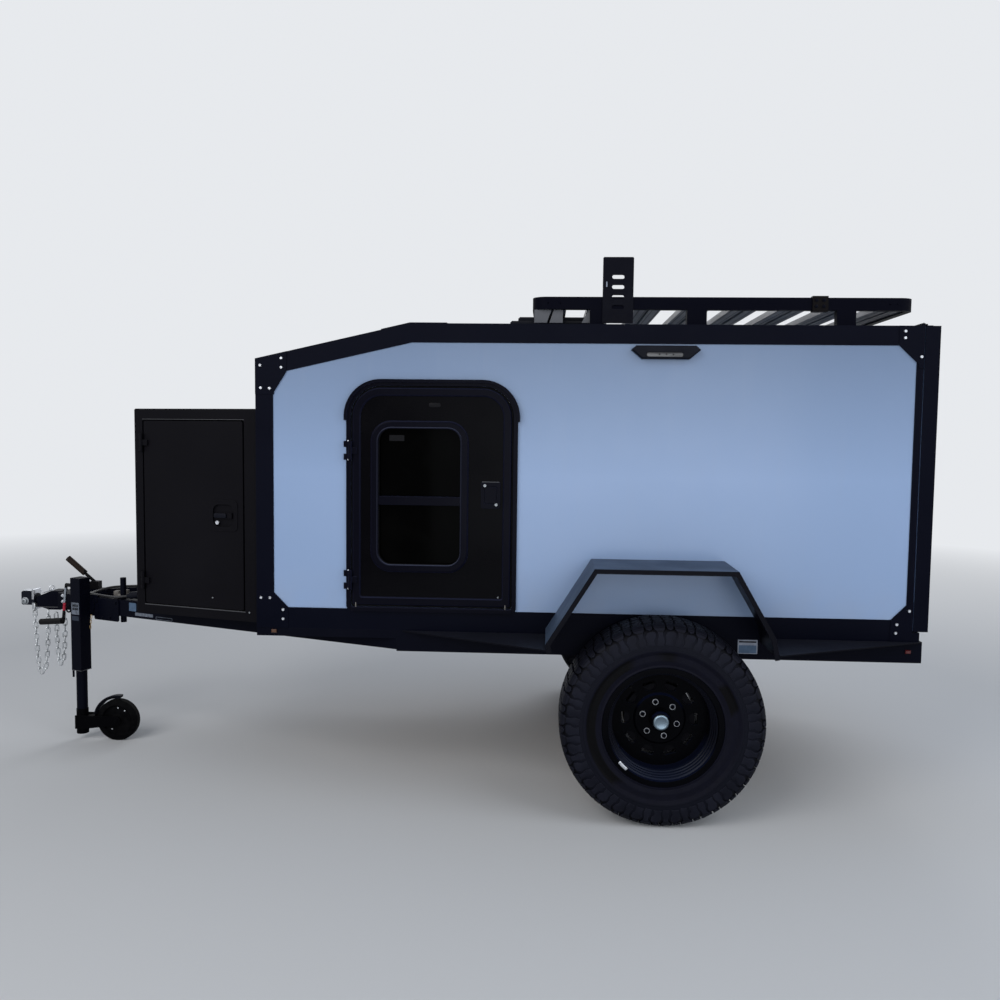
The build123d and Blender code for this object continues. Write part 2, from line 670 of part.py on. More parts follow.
def make_chassis():
    """Main rails, front corner rails, tongue legs with the post, cross members and the nose."""
    leg_bottom_z = RAIL_TOP_Z - LEG_HEIGHT
    nose_rear_x = BODY_FRONT_X + NOSE_REAR_AHEAD
    nose_rear_y = leg_outer_y(NOSE_REAR_AHEAD)
    leg = plan_slab(
        [
            (aft(LEG_START_AFT), SIDE_Y),
            (nose_rear_x, nose_rear_y),
            (nose_rear_x, nose_rear_y - LEG_SKEW),
            (aft(LEG_START_AFT), SIDE_Y - LEG_SKEW),
        ],
        leg_bottom_z, RAIL_TOP_Z,
    )
    post_y = leg_outer_y(POST_AHEAD) - LEG_SKEW + POST_INSET
    with BuildPart() as legs:
        add(leg)
        mirror(leg, about=Plane.XZ)
        with Locations((BODY_FRONT_X + POST_AHEAD, post_y, (POST_BOTTOM_Z + POST_TOP_Z) / 2)):
            Cylinder(POST_RADIUS, POST_TOP_Z - POST_BOTTOM_Z)
    keep("tongue_legs", legs.part)

    keep_pair(
        "main_rails",
        block(RAIL_REAR_X, aft(LEG_START_AFT), SIDE_Y - RAIL_WIDTH, SIDE_Y, RAIL_BOTTOM_Z, RAIL_TOP_Z),
    )
    corner = plan_slab(
        [
            (aft(0), SIDE_Y),
            (aft(LEG_START_AFT), SIDE_Y),
            (aft(LEG_START_AFT - RAIL_WIDTH / LEG_SLOPE), SIDE_Y - RAIL_WIDTH),
            (aft(RAIL_WIDTH), SIDE_Y - RAIL_WIDTH),
            (aft(RAIL_WIDTH), leg_outer_y(-RAIL_WIDTH)),
            (aft(0), leg_outer_y(0)),
        ],
        RAIL_TOP_Z - CORNER_RAIL_HEIGHT, RAIL_TOP_Z,
    )
    keep_pair("corner_rails", corner)

    member_bottom_z = RAIL_TOP_Z - CORNER_RAIL_HEIGHT
    front_y = leg_outer_y(0) - LEG_SKEW
    rear_y = leg_outer_y(-CROSS_MEMBER_WIDTH) - LEG_SKEW
    last_aft = BODY_LENGTH + RAIL_REAR_REACH - CROSS_MEMBER_WIDTH
    with BuildPart() as members:
        add(plan_slab(
            [(aft(0), front_y), (aft(CROSS_MEMBER_WIDTH), rear_y),
             (aft(CROSS_MEMBER_WIDTH), -rear_y), (aft(0), -front_y)],
            member_bottom_z, RAIL_TOP_Z,
        ))
        for start in (*CROSS_MEMBER_AFT, last_aft):
            add(block(
                aft(start + CROSS_MEMBER_WIDTH), aft(start), RAIL_WIDTH - SIDE_Y, SIDE_Y - RAIL_WIDTH,
                member_bottom_z, RAIL_TOP_Z,
            ))
    keep("cross_members", members.part)

    nose_front_x = BODY_FRONT_X + NOSE_FRONT_AHEAD
    nose_front_y = leg_outer_y(NOSE_FRONT_AHEAD)
    keep("tongue_nose", plan_slab(
        [(nose_rear_x, nose_rear_y), (nose_front_x, nose_front_y),
         (nose_front_x, -nose_front_y), (nose_rear_x, -nose_rear_y)],
        leg_bottom_z, RAIL_TOP_Z,
    ))


def make_coupler():
    """The coupler's fixed body and its head, which turns about the tongue's long axis."""
    tip_x = OVERALL_LENGTH / 2
    head_rear_x = tip_x - COUPLER_HEAD_LENGTH
    body_front_x = BODY_FRONT_X + NOSE_FRONT_AHEAD + max(run for run, rise in COUPLER_OUTLINE)
    outline = [(BODY_FRONT_X + NOSE_FRONT_AHEAD + run, COUPLER_Z + rise) for run, rise in COUPLER_OUTLINE]
    with BuildPart() as body:
        add(slab(outline, -COUPLER_HALF_WIDTH, COUPLER_HALF_WIDTH))
        with BuildSketch(rear_plane(body_front_x)):
            with Locations((0, COUPLER_Z)):
                Circle(COUPLER_ROLL_RADIUS + SLIDE_CLEARANCE)
        extrude(amount=-COUPLER_ROLL_LENGTH, mode=Mode.SUBTRACT)
    keep("coupler_body", body.part)

    collar_radius, collar_length = COUPLER_COLLAR
    half = COUPLER_HEAD_SIZE / 2
    shaft_rear_x = body_front_x - COUPLER_ROLL_LENGTH + SLIDE_CLEARANCE
    with BuildPart() as head:
        add(block(
            head_rear_x, tip_x, -half, half, COUPLER_Z + COUPLER_HEAD_BOTTOM, COUPLER_Z + COUPLER_HEAD_TOP,
        ))
        tip_edges = head.edges().filter_by(Axis.Y).group_by(Axis.X)[-1]
        fillet(tip_edges, COUPLER_HEAD_ROUNDING)
        with BuildSketch(rear_plane(head_rear_x)):
            with Locations((0, COUPLER_Z)):
                Circle(collar_radius)
        extrude(amount=-collar_length)
        with BuildSketch(rear_plane(shaft_rear_x)):
            with Locations((0, COUPLER_Z)):
                Circle(COUPLER_ROLL_RADIUS)
        extrude(amount=head_rear_x - shaft_rear_x)
        with Locations(Location((tip_x - COUPLER_PIN_FROM_TIP, 0, COUPLER_Z), (90, 0, 0))):
            Cylinder(COUPLER_PIN_RADIUS, COUPLER_HEAD_SIZE + 2, mode=Mode.SUBTRACT)
    keep("coupler_head", head.part)


def jack_plane(z=0):
    """A level plane at the jack's axis: local X runs along the leg, local Y points outboard."""
    angle = radians(A_FRAME_HALF_ANGLE)
    return Plane(origin=(JACK_X, JACK_Y, z), x_dir=(cos(angle), -sin(angle), 0), z_dir=(0, 0, 1))


def jack_point(along, across, z):
    """A point in the trailer's frame, from its place along and across the jack."""
    return jack_plane().from_local_coords((along, across, z))


def make_jack():
    """The side-mounted tongue jack: housing with its mount, and the sliding leg."""
    half = JACK_OUTER / 2
    bore = JACK_OUTER - 2 * JACK_TUBE_WALL
    bore_bottom_z = JACK_OUTER_BOTTOM_Z + JACK_COLLAR
    mount_z = RAIL_TOP_Z - LEG_HEIGHT / 2
    plate_length, plate_thickness, plate_height = JACK_PLATE
    mount_plane = Plane(
        origin=jack_point(0, -half, mount_z), x_dir=(0, 0, 1), z_dir=jack_plane().y_dir,
    )
    pin_radius, pin_length = JACK_PIN
    with BuildPart() as housing:
        with BuildSketch(jack_plane(JACK_OUTER_BOTTOM_Z)):
            Rectangle(JACK_OUTER, JACK_OUTER)
        extrude(amount=JACK_TOP_Z - JACK_OUTER_BOTTOM_Z)
        with BuildSketch(jack_plane(bore_bottom_z)):
            Rectangle(bore, bore)
        extrude(amount=JACK_TOP_Z - JACK_CAP - bore_bottom_z, mode=Mode.SUBTRACT)
        with BuildSketch(jack_plane(JACK_OUTER_BOTTOM_Z)):
            Circle(JACK_INNER_RADIUS + SLIDE_CLEARANCE)
        extrude(amount=JACK_COLLAR, mode=Mode.SUBTRACT)
        with BuildSketch(mount_plane):
            Circle(JACK_DISC_RADIUS)
        extrude(amount=-JACK_DISC_THICKNESS)
        with BuildSketch(mount_plane.offset(-JACK_DISC_THICKNESS)):
            Rectangle(plate_height, plate_length)
        extrude(amount=-plate_thickness)
        pin_x = half - pin_radius
        pin_bottom_z = JACK_OUTER_BOTTOM_Z - pin_length
        add(rod(jack_point(pin_x, pin_x, pin_bottom_z), jack_point(pin_x, pin_x, JACK_OUTER_BOTTOM_Z), pin_radius))
    keep("jack_housing", housing.part)

    with BuildPart() as leg:
        with BuildSketch(jack_plane(JACK_SLEEVE_TOP_Z + 1)):
            Circle(JACK_INNER_RADIUS)
        extrude(amount=JACK_LEG_TOP_Z - JACK_SLEEVE_TOP_Z - 1)
        with BuildSketch(jack_plane(JACK_SLEEVE_BOTTOM_Z + JACK_CHEEK)):
            Circle(JACK_STEM_RADIUS)
        extrude(amount=JACK_SLEEVE_TOP_Z + 1 - JACK_SLEEVE_BOTTOM_Z - JACK_CHEEK)
    keep("jack_leg", leg.part)

    with BuildPart() as crank:
        start = jack_point(CRANK_START[0], 0, CRANK_START[1])
        for along, z, radius in CRANK_BENDS:
            end = jack_point(along, 0, z)
            add(rod(start, end, radius))
            start = end
    keep("jack_crank", crank.part)


def make_caster():
    """The caster that swivels on the jack's leg, and its wheel."""
    wheel_x = JACK_X - JACK_WHEEL_TRAIL
    wheel_z = JACK_WHEEL_RADIUS
    cheek_inner = JACK_WHEEL_WIDTH / 2 + JACK_CHEEK_GAP
    cheek_outer = cheek_inner + JACK_CHEEK
    guard_radius, guard_thickness, guard_width = JACK_GUARD
    sleeve_plane = Plane(origin=(JACK_X, JACK_Y, JACK_SLEEVE_BOTTOM_Z), z_dir=(0, 0, 1))
    guard_low, guard_high = (radians(angle) for angle in JACK_GUARD_ANGLES)
    reach = 2 * guard_radius
    sector = [(wheel_x, wheel_z)] + [
        (wheel_x + reach * cos(angle), wheel_z + reach * sin(angle))
        for angle in (guard_low, (guard_low + guard_high) / 2, guard_high)
    ]
    with BuildPart() as caster:
        for low in (JACK_Y - cheek_outer, JACK_Y + cheek_inner):
            with BuildSketch(side_plane(low)):
                with Locations((wheel_x, wheel_z)):
                    Circle(JACK_ARM_RADIUS)
                with Locations((JACK_X, wheel_z - JACK_ARM_RADIUS / 2)):
                    Rectangle(2 * JACK_ARM_RADIUS, 3 * JACK_ARM_RADIUS)
                make_hull()
            extrude(amount=-JACK_CHEEK)
        bridge_x = JACK_X - JACK_SLEEVE_RADIUS - 14
        add(block(
            bridge_x, JACK_X, JACK_Y - cheek_outer, JACK_Y + cheek_outer,
            wheel_z - 2 * JACK_ARM_RADIUS + JACK_CHEEK, wheel_z + JACK_ARM_RADIUS - JACK_CHEEK,
        ))
        with BuildSketch(sleeve_plane):
            Circle(JACK_SLEEVE_RADIUS)
        extrude(amount=JACK_SLEEVE_TOP_Z - JACK_SLEEVE_BOTTOM_Z)
        with BuildSketch(side_plane(JACK_Y - guard_width / 2)):
            with Locations((wheel_x, wheel_z)):
                Circle(guard_radius + guard_thickness)
                Circle(guard_radius, mode=Mode.SUBTRACT)
            with BuildLine():
                Polyline(*sector, close=True)
            make_face(mode=Mode.INTERSECT)
        extrude(amount=-guard_width)
        guard_foot_z = wheel_z + guard_radius * sin(guard_low)
        add(block(
            wheel_x + guard_radius - 4, bridge_x + 1, JACK_Y - guard_width / 2, JACK_Y + guard_width / 2,
            guard_foot_z - 3, guard_foot_z + 3,
        ))
        with Locations(Location((wheel_x, JACK_Y, wheel_z), (90, 0, 0))):
            Cylinder(JACK_AXLE_RADIUS, 2 * cheek_outer + 8)
        with BuildSketch(sleeve_plane.offset(JACK_CHEEK - 1)):
            Circle(JACK_STEM_RADIUS + HINGE_CLEARANCE)
        extrude(amount=JACK_SLEEVE_TOP_Z - JACK_SLEEVE_BOTTOM_Z, mode=Mode.SUBTRACT)
    keep("jack_caster", caster.part)

    rim_radius = 0.68 * JACK_WHEEL_RADIUS
    half = JACK_WHEEL_WIDTH / 2
    left_side = [
        (-half + 3, JACK_AXLE_RADIUS + HINGE_CLEARANCE),
        (-half + 9, 0.3 * JACK_WHEEL_RADIUS),
        (-half + 9, rim_radius),
        (-half, rim_radius + 6),
        (-half + 8, JACK_WHEEL_RADIUS),
    ]
    section = left_side + [(-y, radius) for y, radius in reversed(left_side)]
    with BuildPart() as wheel:
        with BuildSketch(rear_plane(wheel_x)):
            with BuildLine():
                Polyline(*[(JACK_Y + y, wheel_z + radius) for y, radius in section], close=True)
            make_face()
        revolve(axis=Axis((wheel_x, JACK_Y, wheel_z), (0, 1, 0)))
    keep("jack_wheel", wheel.part)


def make_brake_lever():
    """The parking brake's lever, which stands on the right leg of the tongue."""
    length, width, height = LEVER_BLOCK
    lever_x = BODY_FRONT_X + LEVER_AHEAD
    lever_y = -(leg_outer_y(LEVER_AHEAD) - LEVER_INSET)
    start = Vector(lever_x, lever_y, RAIL_TOP_Z + height - LEVER_ROD_RADIUS)
    end = start + Vector(LEVER_RUN, 0, LEVER_RISE)
    grip = end + (start - end) * LEVER_GRIP_SHARE
    with BuildPart() as lever:
        add(block(
            lever_x - length / 2, lever_x + length / 2, lever_y - width / 2, lever_y + width / 2,
            RAIL_TOP_Z, RAIL_TOP_Z + height,
        ))
        add(rod(start, end, LEVER_ROD_RADIUS))
        add(rod(grip, end, LEVER_GRIP_RADIUS))
    keep("brake_lever", lever.part)


def revolved(section):
    """A ring about the axle's line, from a section in Y and radius."""
    with BuildPart() as ring:
        with BuildSketch(rear_plane(AXLE_X)):
            with BuildLine():
                Polyline(*[(y, TYRE_RADIUS + radius) for y, radius in section], close=True)
            make_face()
        revolve(axis=Axis((AXLE_X, 0, TYRE_RADIUS), (0, 1, 0)))
    return ring.part


def make_axle():
    """Torsion beam and trailing arms, with spindles and the brakes' backing plates."""
    axle_z = TYRE_RADIUS
    beam_x = AXLE_X + BEAM_AHEAD_OF_AXLE
    beam_z = RAIL_BOTTOM_Z - BEAM_SIZE / 2
    arm_y = SIDE_Y - RAIL_WIDTH / 2 - ARM_THICKNESS / 2
    plate_y = WHEEL_CENTRE_Y + WHEEL_DISC_BACK - DRUM_DEPTH - 8
    keep(
        "axle_beam",
        block(
            beam_x - BEAM_SIZE / 2, beam_x + BEAM_SIZE / 2, -arm_y, arm_y,
            beam_z - BEAM_SIZE / 2, beam_z + BEAM_SIZE / 2,
        ),
    )
    with BuildPart() as arm:
        with BuildSketch(side_plane(arm_y)):
            with Locations((beam_x, beam_z)):
                Circle(BEAM_SIZE / 2 - 1)
            with Locations((AXLE_X, axle_z)):
                Circle(ARM_END_RADIUS)
            make_hull()
        extrude(amount=-ARM_THICKNESS)
        for low, high, radius in (
            (arm_y, plate_y, ARM_END_RADIUS),
            (plate_y - 3, plate_y + 2, DRUM_RADIUS - 4),
            (plate_y, WHEEL_CENTRE_Y, SPINDLE_RADIUS),
        ):
            add(rod((AXLE_X, low, axle_z), (AXLE_X, high, axle_z), radius))
    keep_pair("trailing_arms", arm.part)


def make_wheels():
    """Hubs with their drums, pressed steel wheels and tyres."""
    centre = WHEEL_CENTRE_Y
    disc_back_y = centre + WHEEL_DISC_BACK
    disc_front_y = disc_back_y + WHEEL_DISC_THICKNESS
    pad_front_y = disc_front_y + WHEEL_PAD_RISE
    pad_back_y = pad_front_y - WHEEL_DISC_THICKNESS
    drum_inner_y = disc_back_y - DRUM_DEPTH
    drum_inside = DRUM_RADIUS - DRUM_WALL
    pilot = HUB_BORE_RADIUS - 0.5
    pad_seat = WHEEL_PAD_RADIUS - 6
    bore = SPINDLE_RADIUS + SPINDLE_CLEARANCE
    keep_sides("hub", revolved([
        (drum_inner_y, DRUM_RADIUS),
        (disc_back_y, DRUM_RADIUS),
        (disc_back_y, pad_seat),
        (pad_back_y, pad_seat),
        (pad_back_y, pilot),
        (centre + 20, pilot),
        (centre + HUB_NOSE - 6, 34),
        (centre + HUB_NOSE, 0),
        (centre + 4, 0),
        (centre + 4, bore),
        (drum_inner_y + 20, bore),
        (drum_inner_y + 20, 34),
        (disc_back_y - DRUM_WALL, 34),
        (disc_back_y - DRUM_WALL, drum_inside),
        (drum_inner_y, drum_inside),
    ]))

    half = RIM_WIDTH / 2
    bead_inside = RIM_BEAD_RADIUS - RIM_WALL
    well_inside = RIM_WELL_RADIUS - RIM_WALL
    with BuildSketch() as window:
        Circle(WHEEL_WINDOW_RADIUS)
        with Locations((WHEEL_WINDOW_FLAT + WHEEL_WINDOW_RADIUS, 0)):
            Rectangle(2 * WHEEL_WINDOW_RADIUS, 2 * WHEEL_WINDOW_RADIUS, mode=Mode.SUBTRACT)
    with BuildPart() as rim:
        add(revolved([
            (centre - half, RIM_FLANGE_RADIUS),
            (centre - half + RIM_FLANGE, RIM_FLANGE_RADIUS),
            (centre - half + RIM_FLANGE, RIM_BEAD_RADIUS),
            (centre - 20, RIM_WELL_RADIUS),
            (centre + 40, RIM_WELL_RADIUS),
            (centre + half - RIM_FLANGE, RIM_BEAD_RADIUS),
            (centre + half - RIM_FLANGE, RIM_FLANGE_RADIUS),
            (centre + half, RIM_FLANGE_RADIUS),
            (centre + half, bead_inside),
            (centre + 40, well_inside),
            (disc_front_y, well_inside),
            (disc_front_y, WHEEL_PAD_RADIUS + 8),
            (pad_front_y, WHEEL_PAD_RADIUS),
            (pad_front_y, HUB_BORE_RADIUS),
            (pad_back_y, HUB_BORE_RADIUS),
            (pad_back_y, WHEEL_PAD_RADIUS - 4),
            (disc_back_y, WHEEL_PAD_RADIUS + 4),
            (disc_back_y, well_inside),
            (centre - half, bead_inside),
        ]))
        with BuildSketch(side_plane(disc_back_y - 1)):
            with Locations((AXLE_X, TYRE_RADIUS)):
                with PolarLocations(WHEEL_WINDOW_CIRCLE, WHEEL_WINDOW_COUNT):
                    add(window.sketch)
                with PolarLocations(LUG_CIRCLE_DIAMETER / 2, LUG_COUNT, start_angle=15):
                    Circle(LUG_HOLE_RADIUS)
        extrude(amount=disc_back_y - pad_front_y - 2, mode=Mode.SUBTRACT)
    keep_sides("wheel", rim.part)

    half_tyre = TYRE_WIDTH / 2
    heel = half - RIM_FLANGE - BEAD_CLEARANCE
    outer_side = [
        (TREAD_HALF_WIDTH, TYRE_RADIUS),
        (SHOULDER_HALF_WIDTH, TYRE_RADIUS - SHOULDER_DROP),
        (half_tyre, TYRE_RADIUS - SIDEWALL_BULGE_DROP),
        (heel, RIM_FLANGE_RADIUS + 2),
        (heel, RIM_BEAD_RADIUS + BEAD_CLEARANCE),
    ]
    section = outer_side + [(-y, radius) for y, radius in reversed(outer_side)]
    keep_sides("tyre", revolved([(centre + y, radius) for y, radius in section]))


def make_fenders():
    """The bent-plate fenders with their lips, and the triangular side steps."""
    folds = [(AXLE_X + ahead, FENDER_TOP_Z + rise) for ahead, rise in FENDER_FOLDS]

    def folded(thickness, y_low):
        with BuildPart() as plate:
            with BuildSketch(side_plane(y_low)):
                with BuildLine():
                    Polyline(*folds)
                    offset(amount=thickness, side=Side.LEFT)
                make_face()
            extrude(amount=y_low - FENDER_OUTER_Y)
        return plate.part

    with BuildPart() as fender:
        add(folded(PLATE, SIDE_Y))
        add(folded(FENDER_LIP, FENDER_OUTER_Y - PLATE))
    keep_sides("fender", fender.part)

    step_z = RAIL_TOP_Z - PLATE
    front_x = AXLE_X + FENDER_FOLDS[0][0]
    rear_x = AXLE_X + FENDER_FOLDS[-1][0]
    with BuildPart() as steps:
        add(plan_slab(
            [(front_x, SIDE_Y), (front_x, FENDER_OUTER_Y), (aft(STEP_FRONT_AFT), SIDE_Y)],
            step_z, RAIL_TOP_Z,
        ))
        add(plan_slab(
            [(rear_x, SIDE_Y), (rear_x, FENDER_OUTER_Y), (RAIL_REAR_X, SIDE_Y)], step_z, RAIL_TOP_Z,
        ))
        add(fender.part, mode=Mode.SUBTRACT)
    keep_pair("side_steps", steps.part)


def make_door_frame():
    """An entry door's frame, with its drip cap, sill strip and the hinges' fixed knuckles."""
    hinge_x = aft(DOOR_FRAME_AFT + DOOR_FRAME_BORDER)
    hinge_y = SIDE_Y + HINGE_STANDOFF
    frame_y = SIDE_Y + DOOR_FRAME_PROUD
    top_z = DOOR_FRAME_BOTTOM_Z + DOOR_FRAME_HEIGHT
    third = HINGE_LENGTH / 3
    strip_height, strip_proud = SILL_STRIP
    with BuildPart() as cap:
        with BuildSketch(side_plane(PANEL_Y)):
            add(door_outline(-DRIP_CAP_OUTSET))
            add(door_outline(DRIP_CAP_INSET), mode=Mode.SUBTRACT)
            with Locations((aft(DOOR_FRAME_AFT + DOOR_FRAME_WIDTH / 2), top_z - DRIP_CAP_LENGTH - 500)):
                Rectangle(2 * DOOR_FRAME_WIDTH, 1000, mode=Mode.SUBTRACT)
        extrude(amount=PANEL_Y - SIDE_Y - DRIP_CAP_PROUD)
    with BuildPart() as frame:
        with BuildSketch(side_plane(PANEL_Y)):
            add(door_outline(0))
            add(door_outline(DOOR_FRAME_BORDER), mode=Mode.SUBTRACT)
        extrude(amount=PANEL_Y - frame_y)
        add(cap.part)
        add(block(
            aft(DOOR_FRAME_AFT + DOOR_FRAME_WIDTH - DOOR_BOTTOM_RADIUS), aft(DOOR_FRAME_AFT + DOOR_BOTTOM_RADIUS),
            frame_y, SIDE_Y + strip_proud, DOOR_FRAME_BOTTOM_Z, DOOR_FRAME_BOTTOM_Z + strip_height,
        ))
        for z in DOOR_HINGE_Z:
            for shift in (-third, third):
                low = z + shift - third / 2 + 0.5
                high = z + shift + third / 2 - 0.5
                add(rod((hinge_x, hinge_y, low), (hinge_x, hinge_y, high), HINGE_RADIUS))
                add(block(hinge_x, hinge_x + HINGE_LEAF, frame_y - 1, hinge_y, low, high))
            with Locations((hinge_x, hinge_y, z)):
                Cylinder(HINGE_PIN_RADIUS, HINGE_LENGTH)
    keep_sides("door_frame", frame.part)


def make_door_latch(leaf_y):
    """The door's latch: a plate with a sunk paddle and two locks."""
    width, height, proud = DOOR_LATCH_SIZE
    paddle_width, paddle_height = DOOR_LATCH_PADDLE
    x = aft(DOOR_LATCH_AFT)
    lock_x = width / 2 - 2 * DOOR_LOCK_RADIUS
    lock_z = height / 2 - 2 * DOOR_LOCK_RADIUS
    with BuildPart() as latch:
        with BuildSketch(side_plane(leaf_y)):
            with Locations((x, DOOR_LATCH_Z)):
                RectangleRounded(width, height, 10)
        extrude(amount=-proud)
        with BuildSketch(side_plane(leaf_y + proud)):
            with Locations((x, DOOR_LATCH_Z)):
                RectangleRounded(paddle_width + 8, paddle_height + 8, 8)
                Rectangle(paddle_width, paddle_height, mode=Mode.SUBTRACT)
        extrude(amount=DOOR_LATCH_POCKET, mode=Mode.SUBTRACT)
        with BuildSketch(side_plane(leaf_y + proud)):
            with Locations((x + lock_x, DOOR_LATCH_Z + lock_z), (x - lock_x, DOOR_LATCH_Z - lock_z)):
                Circle(DOOR_LOCK_RADIUS)
        extrude(amount=-DOOR_LATCH_POCKET)
    return latch.part


def make_entry_doors():
    """Door leaves with their ring mouldings, windows, latches and hinge knuckles, and the glass."""
    hinge_x = aft(DOOR_FRAME_AFT + DOOR_FRAME_BORDER)
    hinge_y = SIDE_Y + HINGE_STANDOFF
    leaf_y = SIDE_Y - DOOR_RECESS
    leaf_inset = DOOR_FRAME_BORDER + DOOR_GAP
    ring_y = SIDE_Y + DOOR_RING_PROUD
    third = HINGE_LENGTH / 3
    with BuildPart() as ring:
        with BuildSketch(side_plane(leaf_y)):
            add(door_outline(leaf_inset))
            add(door_outline(leaf_inset + DOOR_RING_WIDTH), mode=Mode.SUBTRACT)
        extrude(amount=leaf_y - ring_y)
        chamfer(ring.faces().sort_by(Axis.Y)[-1].edges(), DOOR_RING_BEVEL)
    with BuildPart() as window:
        with BuildSketch(side_plane(leaf_y)):
            add(window_outline(0))
        extrude(amount=leaf_y - SIDE_Y - WINDOW_PROUD)
        fillet(window.faces().sort_by(Axis.Y)[-1].edges(), WINDOW_ROUNDING)
    with BuildPart() as door:
        with BuildSketch(side_plane(INNER_Y)):
            add(door_outline(leaf_inset))
        extrude(amount=INNER_Y - leaf_y)
        add(ring.part)
        add(window.part)
        with BuildSketch(side_plane(INNER_Y)):
            add(window_outline(WINDOW_BORDER))
        extrude(amount=INNER_Y - SIDE_Y - WINDOW_PROUD, mode=Mode.SUBTRACT)
        bar_half = WINDOW_WIDTH / 2 - WINDOW_BORDER
        bar_x = aft(WINDOW_AFT + WINDOW_WIDTH / 2)
        add(block(
            bar_x - bar_half, bar_x + bar_half, leaf_y - GLASS_DEPTH + GLASS_THICKNESS + 0.5, SIDE_Y + WINDOW_PROUD - 3,
            WINDOW_BAR_Z - WINDOW_BAR_HEIGHT / 2, WINDOW_BAR_Z + WINDOW_BAR_HEIGHT / 2,
        ))
        add(make_door_latch(leaf_y))
        for z in DOOR_HINGE_Z:
            low = z - third / 2 + 0.5
            high = z + third / 2 - 0.5
            add(rod((hinge_x, hinge_y, low), (hinge_x, hinge_y, high), HINGE_RADIUS))
            add(block(hinge_x - HINGE_LEAF, hinge_x, ring_y - DOOR_RING_BEVEL, hinge_y, low, high))
            with Locations((hinge_x, hinge_y, z)):
                Cylinder(HINGE_PIN_RADIUS + HINGE_CLEARANCE, third, mode=Mode.SUBTRACT)
    keep_sides("entry_door", door.part)

    with BuildPart() as glass:
        with BuildSketch(side_plane(leaf_y - GLASS_DEPTH)):
            add(window_outline(WINDOW_BORDER))
        extrude(amount=-GLASS_THICKNESS)
    keep_sides("door_glass", glass.part)


def box_side_plane():
    """The storage box's left side: local X runs back from its front corner, local Y is up."""
    return Plane(
        origin=(BOX_FRONT_X, BOX_FRONT_HALF_WIDTH, BOX_BOTTOM_Z),
        x_dir=(-cos(BOX_TAPER), sin(BOX_TAPER), 0),
        z_dir=(sin(BOX_TAPER), cos(BOX_TAPER), 0),
    )


def box_knuckle(height, shift, leaf_to_rear):
    """One knuckle of a storage door's hinge, with the leaf that fixes it to the box or the door."""
    side = box_side_plane()
    length = HINGE_LENGTH / 3 - 1
    middle = side.from_local_coords((BOX_DOOR_MARGIN_FRONT, height + shift, BOX_HINGE_REACH))
    leaf_start = DOOR_GAP if leaf_to_rear else -BOX_HINGE_LEAF
    with BuildPart() as knuckle:
        with Locations(middle):
            Cylinder(HINGE_RADIUS, length)
        with BuildSketch(side):
            with Locations((BOX_DOOR_MARGIN_FRONT + leaf_start + BOX_HINGE_LEAF / 2, height + shift)):
                Rectangle(BOX_HINGE_LEAF, length)
        extrude(amount=BOX_HINGE_REACH)
        with BuildSketch(side.offset(BOX_HINGE_REACH - 4)):
            with Locations((BOX_DOOR_MARGIN_FRONT + leaf_start / 2, height + shift)):
                Rectangle(abs(leaf_start), length)
        extrude(amount=4)
        if leaf_to_rear:
            with Locations(middle):
                Cylinder(HINGE_PIN_RADIUS + HINGE_CLEARANCE, length + 2, mode=Mode.SUBTRACT)
    return knuckle.part


def box_plan(inset):
    """The storage box's outline seen from above, drawn inside its walls by the inset."""
    rear_x = BOX_FRONT_X - BOX_DEPTH
    slant = inset * tan(BOX_TAPER / 2)
    rear = BOX_REAR_HALF_WIDTH - inset
    front = BOX_FRONT_HALF_WIDTH - inset / cos(BOX_TAPER) + inset * tan(BOX_TAPER)
    return [
        (rear_x + inset, rear),
        (rear_x + BOX_STRAIGHT - slant, rear),
        (BOX_FRONT_X - inset, front),
        (BOX_FRONT_X - inset, -front),
        (rear_x + BOX_STRAIGHT - slant, -rear),
        (rear_x + inset, -rear),
    ]


